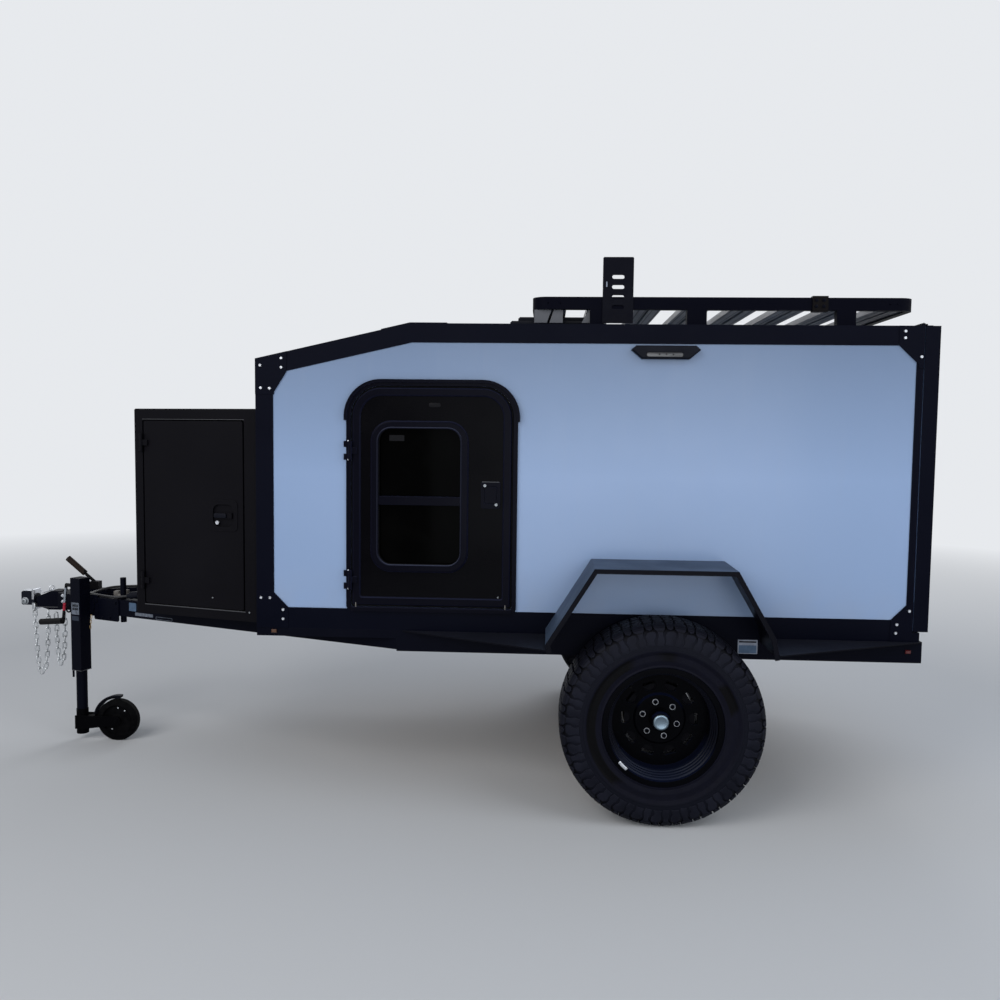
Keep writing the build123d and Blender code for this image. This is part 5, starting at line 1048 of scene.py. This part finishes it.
# The balance weight's bend, and the places of the weight and the valve from the wheel's middle: radius,
# angle, out
WEIGHT_BEND = 0.2225
WEIGHT_RADIUS, WEIGHT_ANGLE, WEIGHT_OUT = 0.2155, atan2(0.154, -0.156), 0.1215
VALVE_RADIUS, VALVE_ANGLE, VALVE_OUT = 0.199, radians(40), 0.062


def cone(y):
    """The barrel's radius at a distance out from the wheel's middle, in millimetres."""
    return 191 + (y - 40) * 0.265


def spokes(centre, count, start):
    """Places round a centre, each turned about Y, from an angle in degrees."""
    return [
        Matrix.Translation(centre) @ Matrix.Rotation(radians(360 / count * step + start), 4, "Y")
        for step in range(count)
    ]


def make_wheel_parts():
    skirt, cap = lathe(CAP_SKIRT, WHEEL_CENTRE, 64), lathe(CAP, WHEEL_CENTRE, 64)
    both_sides(skirt, "hub_cap_skirt", WHEEL, "wheel_SIDE", 40)
    both_sides(cap, "hub_dust_cap", CAP_STEEL, "wheel_SIDE", 40)

    places = []
    for angle in (radians(15 + 60 * step) for step in range(6)):
        offset = shift(NUT_CIRCLE * cos(angle), 6, NUT_CIRCLE * sin(angle))
        places.append(Matrix.Translation(WHEEL_CENTRE) @ offset @ Matrix.Rotation(-angle + 0.3, 4, "Y"))
    stud = drum((0, 3 * MM, 0), 5 * MM, 6 * MM, 16, 0.8 * MM)
    for piece, name, finish, slot in (
        (wheel_nut(), "wheel_nuts", WHEEL, "hub_steel"),
        (lathe(NUT_SEAT, steps=28), "wheel_nut_seats", ZINC, "plated_steel"),
        (stud, "wheel_studs", WHEEL, "hub_steel"),
    ):
        both_sides(copies(piece, places), name, finish, "wheel_SIDE")

    middle = (AXLE_X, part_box("hub_left")[0].y - 0.001, TYRE_RADIUS)
    rib = block((-1.5 * MM, 1.5 * MM, 144 * MM), (1.5 * MM, 8 * MM, 180 * MM), 0.8 * MM, 1)
    heads = [drum((0, 4 * MM, 151 * MM), 5 * MM, 6 * MM, 6), drum((0, 4 * MM, 170 * MM), 4 * MM, 5 * MM, 12)]
    shield = [
        lathe(BRAKE_SHIELD, middle, 72), copies(rib, spokes(middle, 30, 3)),
        copies(joined(heads), spokes(middle, 15, 9)),
    ]
    both_sides(joined(shield), "brake_shield", SHIELD)

    profile = []
    for low, high in BARREL_STEPS:
        profile += [(low + 1.2, cone(low) - 1.4), (high - 1.2, cone(low) - 0.6)]
    profile += [(113, cone(113) + 1), (46, cone(46) + 1)]
    barrel = lathe(profile + profile[:1], WHEEL_CENTRE)
    both_sides(barrel, "rim_barrel_steps", BARREL, "wheel_SIDE", 25)

    weight = block((-21 * MM, -4 * MM, -6 * MM), (21 * MM, 3.4 * MM, 6 * MM))
    choose(weight, "EDGE", lambda edge: upright(weight, edge, "x"))
    bpy.ops.mesh.subdivide(number_cuts=6)
    leave()
    bevel(weight, 1.4 * MM, 2)
    for point in weight.data.vertices:
        point.co.z -= point.co.x ** 2 / (2 * WEIGHT_BEND)
    offset = Vector((WEIGHT_RADIUS * sin(WEIGHT_ANGLE), WEIGHT_OUT, WEIGHT_RADIUS * cos(WEIGHT_ANGLE)))
    turn = Matrix.Rotation(WEIGHT_ANGLE, 4, "Y")
    moved(weight, Matrix.Translation(Vector(WHEEL_CENTRE) + offset) @ turn)
    both_sides(weight, "balance_weight", ZINC, "wheel_SIDE")

    direction = Vector((sin(VALVE_ANGLE), 0, cos(VALVE_ANGLE)))
    seat = Vector(WHEEL_CENTRE) + direction * VALVE_RADIUS + Vector((0, VALVE_OUT, 0))
    stem = bar(seat, seat + Vector((0, 0.036, 0)) - direction * 0.006, 4 * MM, 12)
    inner, outer = seat - Vector((0, 0.004, 0)), seat + Vector((0, 0.012, 0)) - direction * 0.002
    grommet = bar(inner, outer, 7.5 * MM, 16)
    bevel(grommet, 1.5 * MM)
    both_sides(joined([stem, grommet]), "valve_stem", RUBBER, "wheel_SIDE")


# The hitch; the coupler's head turns about a line at the height ROLL_Z
HEAD_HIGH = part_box("coupler_head")[1]
ROLL_Z = RAIL_TOP - 0.050
PIN_X = HEAD_HIGH.x - 0.020
PIN_HALF = 0.0325


def make_coupler_parts():
    flat = Matrix.Translation((HEAD_HIGH.x - 0.030, 0, HEAD_HIGH.z)) @ Matrix.Rotation(pi / 2, 4, "X")
    upper = plate(46, 60, 5, 6, flat, 1.2)
    band = plate(8, 108, 70, 4, Matrix.Translation((HEAD_HIGH.x - 0.0605, -0.035, ROLL_Z + 0.006)), 1.5)
    complete(joined([upper, band]), "coupler_bright_plates", ZINC, "coupler_head")

    made = []
    for side, turn in ((1, 0), (-1, pi)):
        washer = drum((0, 1.5 * MM, 0), 19 * MM, 3 * MM, 32, 0.6 * MM)
        nut = crown(drum((0, 8 * MM, 0), 13.5 * MM, 12 * MM, 6), 3, 1.6, 3)
        place = Matrix.Translation((PIN_X, side * 0.032, ROLL_Z)) @ Matrix.Rotation(turn, 4, "Z")
        made.append(moved(joined([washer, nut]), place))
    complete(joined(made), "coupler_cross_bolt", GALVANISED, "coupler_head")
    pin = bar((PIN_X, -PIN_HALF, ROLL_Z), (PIN_X, PIN_HALF, ROLL_Z), 12.2 * MM, 32)
    bevel(pin, 1 * MM)
    complete(pin, "coupler_pin", ZINC, "coupler_head")


def make_coupler_pull():
    """The spring pull on the coupler's body: its post, ring, and bent release bar."""
    x, z = aft(-1292), ROLL_Z + 0.054
    post = bar((x, 0.012, z - 0.002), (x, 0.012, z + 0.011), 6 * MM, 16)
    bevel(post, 1.2 * MM)
    hoop = ring(13 * MM, 2 * MM, 28)
    moved(hoop, Matrix.Translation((x, 0.02, z + 0.012)) @ Matrix.Rotation(radians(35), 4, "Z"))
    lever = bar((x - 0.004, 0.014, z + 0.006), (x + 0.052, 0.016, z - 0.013), 3 * MM, 10)
    tip = bar((x + 0.050, 0.016, z - 0.012), (x + 0.060, 0.016, z + 0.004), 3 * MM, 10)
    complete(joined([post, hoop, lever, tip]), "coupler_pull", ZINC)
    rim = block((aft(-1357), 0.0385, ROLL_Z - 0.030), (aft(-1243), 0.0400, ROLL_Z - 0.026), 0.5 * MM)
    complete(rim, "coupler_lower_edge", EDGE)


# Safety chains: name, Y, then one end, the lowest place and the other end, ahead of the cabin and up
CHAINS = (
    ("front", 45, (1370, 640), (1336, 291), (1300, 610)),
    ("rear", 20, (1274, 600), (1252, 332), (1226, 600)),
)
LINK_PITCH = 30
# How wide a chain bends at its lowest place, in millimetres
CHAIN_BEND = 13


def make_link(pitch, wire):
    """A welded chain link at the origin, its length along Z."""
    bend = wire * 2.4
    bpy.ops.mesh.primitive_torus_add(
        major_segments=16, minor_segments=8, major_radius=bend, minor_radius=wire, rotation=ALONG_Y
    )
    link = settle(bpy.context.active_object)
    stretch = pitch / 2 - bend + wire
    for side in (1, -1):
        choose(link, "VERT", lambda point: point.co.z * side > 1e-6)
        bpy.ops.transform.translate(value=(0, 0, side * stretch))
        leave()
    return link


def hanging(y, start, lowest, end):
    """The places of a chain's links, as it hangs in a narrow catenary, each with its Z along the chain."""
    places = []
    for (top_ahead, top_z), side in ((start, -1), (end, 1)):
        drop = top_z - lowest[1]
        reach = abs(top_ahead - lowest[0])
        spread = reach / acosh(1 + drop / CHAIN_BEND)
        length = (drop ** 2 + 2 * CHAIN_BEND * drop) ** 0.5
        count = int(length / LINK_PITCH + 0.5)
        for index in range(count):
            run = (index + 0.5) * LINK_PITCH
            rise = (run ** 2 + CHAIN_BEND ** 2) ** 0.5 - CHAIN_BEND
            ahead = lowest[0] - side * spread * asinh(run / CHAIN_BEND)
            lean = atan2(side * spread, run)
            place = Matrix.Translation((aft(-ahead), y * MM, (lowest[1] + rise) * MM))
            twist = 90 * (index % 2) + (90 if side > 0 else 0) + 24
            places.append(place @ Matrix.Rotation(-lean, 4, "Y") @ Matrix.Rotation(radians(twist), 4, "Z"))
    return places


def make_chains():
    for name, y, start, lowest, end in CHAINS:
        links = copies(make_link(LINK_PITCH * MM, 3.5 * MM), hanging(y, start, lowest, end))
        complete(links, f"safety_chain_{name}", CHAIN_ZINC, smooth=60)
    places = [
        Matrix.Translation((aft(-1006 - index * 1.5), 0.185, (610 - 13 * index) * MM))
        @ Matrix.Rotation(radians(90 * (index % 2) + 30), 4, "Z") for index in range(5)
    ]
    links = copies(make_link(14 * MM, 1.2 * MM), places)
    complete(links, "jack_pin_chain", BRASS, smooth=60)


# Small things on the tongue, by millimetres ahead of the cabin and up
LEG_BOLTS = [(ahead, z) for ahead in (1137, 990) for z in (692, 630)]
LEG_FRAME = (590, 632)
MOUNT_BOLTS = ((985, 602), (952, 604), (905, 608), (870, 684), (985, 684))
LABEL_MARKS = ((-13, 666), (0, 667), (13, 666), (-13, 650), (0, 650), (13, 650))
# The lead's connectors: millimetres ahead of the cabin, Y and Z in metres, and size in millimetres
CONNECTORS = (
    (905, 0.12, 0.716, (26, 30, 26)), (868, 0.10, 0.720, (22, 24, 22)), (866, 0.17, 0.712, (24, 22, 18)),
)


def make_tongue_parts():
    nose = copies(hex_bolt(6, 5), [on_leg(1206, 690), on_leg(1206, 660)])
    both_sides(nose, "nose_bolts", ZINC)
    bolts = copies(hex_bolt(9, 8), [on_leg(*at) for at in LEG_BOLTS])
    both_sides(bolts, "leg_bolts", FRAME)
    mount = plate(160, 108, 6, 10, on_leg(928, 646), 1.5)
    bolts = copies(hex_bolt(6, 5), [on_leg(ahead, z, 6) for ahead, z in MOUNT_BOLTS])
    complete(joined([mount, bolts]), "jack_mount_plate", FRAME)
    eye = moved(ring(15 * MM, 4 * MM), on_leg(1160, 628, 10))
    both_sides(eye, "chain_eye", FRAME, smooth=60)

    ahead, z = LEG_FRAME
    strips = [plate(112, 15, 0.6, 2, on_leg(706, 640))]
    strips += [plate(100, 2, 0.6, 0, on_leg(ahead, z + rise)) for rise in (6, -6)]
    strips += [plate(2, 10, 0.6, 0, on_leg(ahead + reach, z)) for reach in (46, -46)]
    marks = [plate(9, 12, 0.5, 3, on_jack(along, 31.8, z)) for along, z in LABEL_MARKS]
    for piece, name, finish, slot in (
        (plate(45, 40, 0.6, 3, on_leg(773, 672)), "leg_label_front", BLUE_LABEL, "slat_grey"),
        (joined(strips), "leg_label_strips", JACK_LABEL, "slat_grey"),
        (plate(50, 58, 0.8, 3, on_jack(0, 31, 652)), "jack_label", JACK_LABEL, "slat_grey"),
        (plate(46, 22, 0.8, 3, on_jack(0, 31, 604)), "jack_label_lower", DIM_LABEL, "slat_grey"),
        (joined(marks), "jack_label_marks", DARK_LABEL, "frame_black"),
        (plate(63, 3.2, 63, 0, on_jack(0, -31.5, 346.5)), "jack_lower_edge", EDGE, "frame_black"),
    ):
        complete(piece, name, finish)

    boxes = []
    for ahead, y, z, size in CONNECTORS:
        half, centre = Vector(size) * MM / 2, Vector((aft(-ahead), y, z))
        boxes.append(block(centre - half, centre + half, 3 * MM))
    complete(joined(boxes), "lead_connectors", GREY_PLASTIC)


# The jack's wheel: bolts on its face, as offsets forward and up from its centre in millimetres
CASTER_BOLTS = ((-5, 60), (-38, 47), (26, -45))
# Its guard bends round a line a little ahead of and above its middle, from the top to behind it
GUARD_OFFSET = 0.003
GUARD_START, GUARD_SWEEP = radians(-8), radians(86)


def make_caster_parts():
    low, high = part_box("jack_wheel")
    centre = (low + high) / 2
    places = [
        Matrix.Translation((centre.x + ahead * MM, high.y - 0.007, centre.z + up * MM))
        for ahead, up in CASTER_BOLTS
    ]
    complete(copies(rivet(4), places), "jack_wheel_bolts", ZINC, "jack_wheel")

    middle = Vector((centre.x + GUARD_OFFSET, 0, centre.z + GUARD_OFFSET))
    section = (
        (low.y - 0.003, 103.5), (low.y - 0.003, 115.5), (high.y - 0.020, 115.5), (high.y - 0.018, 118.5),
        (high.y - 0.010, 118.5), (high.y - 0.010, 103.5),
    )
    start = Matrix.Rotation(GUARD_START, 4, "Y")
    guard = outline([middle + start @ Vector((0, y, radius * MM)) for y, radius in section])
    choose(guard, "FACE", lambda face: True)
    bpy.ops.mesh.spin(steps=24, angle=GUARD_SWEEP, center=middle, axis=(0, -1, 0))
    leave()
    outward(guard)
    bevel(guard, 1 * MM, 2, 50)
    complete(guard, "jack_wheel_guard", GUARD, "jack_caster")


# Storage box: painted highlight strips on the doorway's edges, the latch's lock and grip, and two screws
BOX_LOCK = ((-1, 9), (3, 9), (4.2, 8), (4.2, 5.2), (3.2, 5), (3.2, 0.4))


def make_box_parts():
    # Pale strips along the doorway's bottom and top edges: painted highlights
    strips = [
        plate(526, 4, 2.4, 0, on_box(309, 41, -1), 0.6), plate(526, 2.4, 2.0, 0, on_box(309, 868.5, -1), 0.5),
    ]
    both_sides(joined(strips), "storage_doorway_edge", EDGE)
    latch = moved(lock(BOX_LOCK, 32, (0.8, 3, 3.5, 3.2, 0.3)), on_box(436, 424, 3))
    both_sides(latch, "storage_latch_lock", ZINC, "storage_door_SIDE")
    grip = plate(62, 20, 7, 6, on_box(452, 455, 2.5), 2.4)
    both_sides(grip, "storage_latch_grip", PLASTIC, "storage_door_SIDE")
    screw = moved(socket_bolt(4, 2.5), on_box(406, 93))
    both_sides(screw, "storage_door_screw", GALVANISED, "storage_door_SIDE")
    screw = moved(socket_bolt(4.5, 2.5), on_box(592, 40))
    both_sides(screw, "storage_box_screw", GALVANISED)


# Outlines on the side: distance aft, bottom, width, height, and the radii at the top and the bottom
DOOR_SHAPE = (380, 782, 706, 949, 145, 30)
WINDOW_SHAPE = (481, 946, 404, 625, 85, 85)


def rounded_frame(shape, inset, wire, y):
    """A closed band of round section that follows an outline, drawn inside it by the inset."""
    s, z, width, height, top, bottom = shape
    left, right, low, high = s + inset, s + width - inset, z + inset, z + height - inset
    points = []
    for centre_s, centre_z, radius, start in (
        (right, high, top, 0), (left, high, top, 90), (left, low, bottom, 180), (right, low, bottom, 270),
    ):
        radius = max(radius - inset, 8)
        centre_s += radius if centre_s == left else -radius
        centre_z += radius if centre_z == low else -radius
        for step in range(9):
            angle = radians(start + step * 11.25)
            points.append((centre_s + radius * cos(angle), centre_z + radius * sin(angle)))
    curve = bpy.data.curves.new("band", "CURVE")
    curve.dimensions = "3D"
    curve.bevel_depth, curve.bevel_resolution = wire, 3
    line = curve.splines.new("POLY")
    line.points.add(len(points) - 1)
    for point, (at, up) in zip(line.points, points):
        point.co = (aft(at), y, up * MM, 1)
    line.use_cyclic_u = True
    piece = placed("band", curve)
    activate(piece)
    bpy.ops.object.convert(target="MESH")
    outward(piece, 1e-6)
    return piece


# Entry doors: locks by millimetres aft and up, and hinge rivets by their height
DOOR_LOCK = ((-1, 6.6), (1.2, 6.6), (2.2, 5.8), (2.2, 4.0), (1.6, 3.8), (1.6, 0.3))
DOOR_LOCKS = ((953.5, 1310), (1000.5, 1232))
HINGE_RIVETS = (1486, 1409, 952, 875)
# Bands round the door and its window: name, outline, inset, wire and Y off the side in millimetres, finish,
# body, slot
BANDS = (
    ("door_gasket", DOOR_SHAPE, 22, 3.6, -4, RUBBER, "trailer", "black_plastic"),
    ("window_gasket", WINDOW_SHAPE, 31, 3, -12, RUBBER, "entry_door_SIDE", "black_plastic"),
    ("window_trim", WINDOW_SHAPE, 29, 4, 9, WINDOW_TRIM, "entry_door_SIDE", "door_black"),
)


def make_door_parts():
    places = [on_side(s, z, SIDE_Y + 0.015) for s, z in DOOR_LOCKS]
    locks = copies(lock(DOOR_LOCK, 28, (0.6, 1.4, 1.9, 2.6, 0.2)), places)
    both_sides(locks, "door_locks", GALVANISED, "entry_door_SIDE")
    for name, shape, inset, wire, out, finish, body, slot in BANDS:
        both_sides(rounded_frame(shape, inset, wire * MM, SIDE_Y + out * MM), name, finish, body, 60)
    # A pale lip on the latch's top edge: a painted highlight
    lip = plate(72, 3, 2, 1.2, on_side(977, 1325, SIDE_Y + 0.009), 0.6)
    both_sides(lip, "door_latch_top_highlight", EDGE, "entry_door_SIDE")
    tabs = [plate(4, 22, 3, 1.5, on_side(s, 806, SIDE_Y + 0.006), 0.8) for s in (420, 1041)]
    both_sides(joined(tabs), "door_seal_ends", GREY_PLASTIC, "entry_door_SIDE")
    screw = moved(socket_bolt(4, 2.4), on_side(1011, 847, SIDE_Y - 0.002))
    both_sides(screw, "door_screw", GALVANISED, "entry_door_SIDE")
    rivets = copies(rivet(3.2), [on_side(391, z, SIDE_Y + 0.018) for z in HINGE_RIVETS])
    both_sides(rivets, "hinge_rivets", ZINC)
    for name, size, rounding, place, finish, slot in (
        ("door_skin_seam", (592, 1.6, 1.2, 0), 0.3, (732, 836, SIDE_Y - 0.0024), EDGE, "door_black"),
        ("door_blank_badge", (48, 18, 1.6, 7), 0.6, (744, 1636, SIDE_Y - 0.002), DARK_LABEL, "door_black"),
        ("window_blank_label", (62, 24, 0.5, 2), 0, (585, 1500, SIDE_Y - 0.022), DARK_LABEL, "tinted_glass"),
    ):
        both_sides(plate(*size, on_side(*place), rounding), name, finish, "entry_door_SIDE")


# Roof: a porch lamp's lens and the dots off its middle, and the rack's bolts and corner plates, aft and up
PORCH_LENS = (1669, 1844)
LAMP_DOTS = ((-22, 2), (6, 2), (33, 1))
END_BOLTS = (1200, 1250, 2590, 2620)
CLAMP_BOLTS = ((2292, 2080), (2322, 2080), (2292, 2055), (2322, 2055))
CORNER_PLATES = (
    ((1143, 2040), (1143, 1986), (1196, 1986), (1214, 2040)),
    ((1224, 2040), (1206, 1986), (1262, 1986), (1262, 2040)),
    ((1340, 1986), (1368, 2040), (1380, 2040), (1380, 1986)),
)


def corner_plate(corners, y):
    """A plate 3 mm thick with any outline, its inner face at a Y."""
    piece = outline([(aft(s), y, z * MM) for s, z in corners])
    choose(piece, "FACE", lambda face: True)
    bpy.ops.mesh.extrude_region_move(TRANSFORM_OT_translate={"value": (0, 3 * MM, 0)})
    leave()
    outward(piece)
    bevel(piece, 0.6 * MM, 1, 50)
    return piece


def make_roof_parts():
    lens_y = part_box("porch_lights")[1].y - 0.003
    lens_s, lens_z = PORCH_LENS
    lens = plate(144, 17, 2.6, 8, on_side(lens_s, lens_z, lens_y), 1)
    both_sides(lens, "porch_lens", CLEAR_LENS)
    dots = [
        drum((aft(lens_s + s), lens_y + 2.6 * MM, (lens_z + z) * MM), 3.2 * MM, 0.8 * MM, 16, 0.2 * MM)
        for s, z in LAMP_DOTS
    ]
    both_sides(joined(dots), "porch_lamp_dots", DARK_LABEL)
    place = on_side(1790, 1866, lens_y + 0.001) @ Matrix.Rotation(radians(-40), 4, "Y")
    both_sides(plate(10, 16, 1.6, 2, place, 0.5), "porch_lamp_switch", EDGE)

    rack_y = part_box("rack_frame")[1].y
    bolts = copies(socket_bolt(4, 2.5), [on_side(s, 2066, rack_y) for s in END_BOLTS])
    both_sides(bolts, "rack_end_bolts", RACK)
    plates = [corner_plate(corners, rack_y - 0.020) for corners in CORNER_PLATES]
    both_sides(joined(plates), "rack_corner_plates", TRAY_GREY)
    face_y = rack_y + 0.0065
    bolts = copies(hex_bolt(5, 5), [on_side(s, z, face_y) for s, z in CLAMP_BOLTS])
    complete(bolts, "clamp_bolts", FRAME)
    tag = plate(5, 22, 0.6, 1, on_side(1440, 2141, face_y))
    complete(tag, "bracket_blank_tag", LABEL)


# Blank labels on the rails, a distance aft
LABEL_S = 2035


def make_rail_labels():
    face_y = SIDE_Y + 0.0007
    for piece, name, finish, slot in (
        (plate(80, 58, 0.7, 2, on_side(LABEL_S, 665.5)), "rail_label_border", LABEL, "slat_grey"),
        (plate(70, 32, 0.5, 0, on_side(LABEL_S, 656, face_y)), "rail_label_field", BLUE_LABEL, "slat_grey"),
        (plate(70, 6, 0.5, 0, on_side(LABEL_S, 686, face_y)), "rail_label_band", DARK_LABEL, "frame_black"),
    ):
        both_sides(piece, name, finish)


make_camera()
make_studio()
make_lead()
make_tyres()
make_gusset_bolts()
make_wheel_parts()
make_coupler_parts()
make_coupler_pull()
make_chains()
make_tongue_parts()
make_caster_parts()
make_box_parts()
make_door_parts()
make_roof_parts()
make_rail_labels()
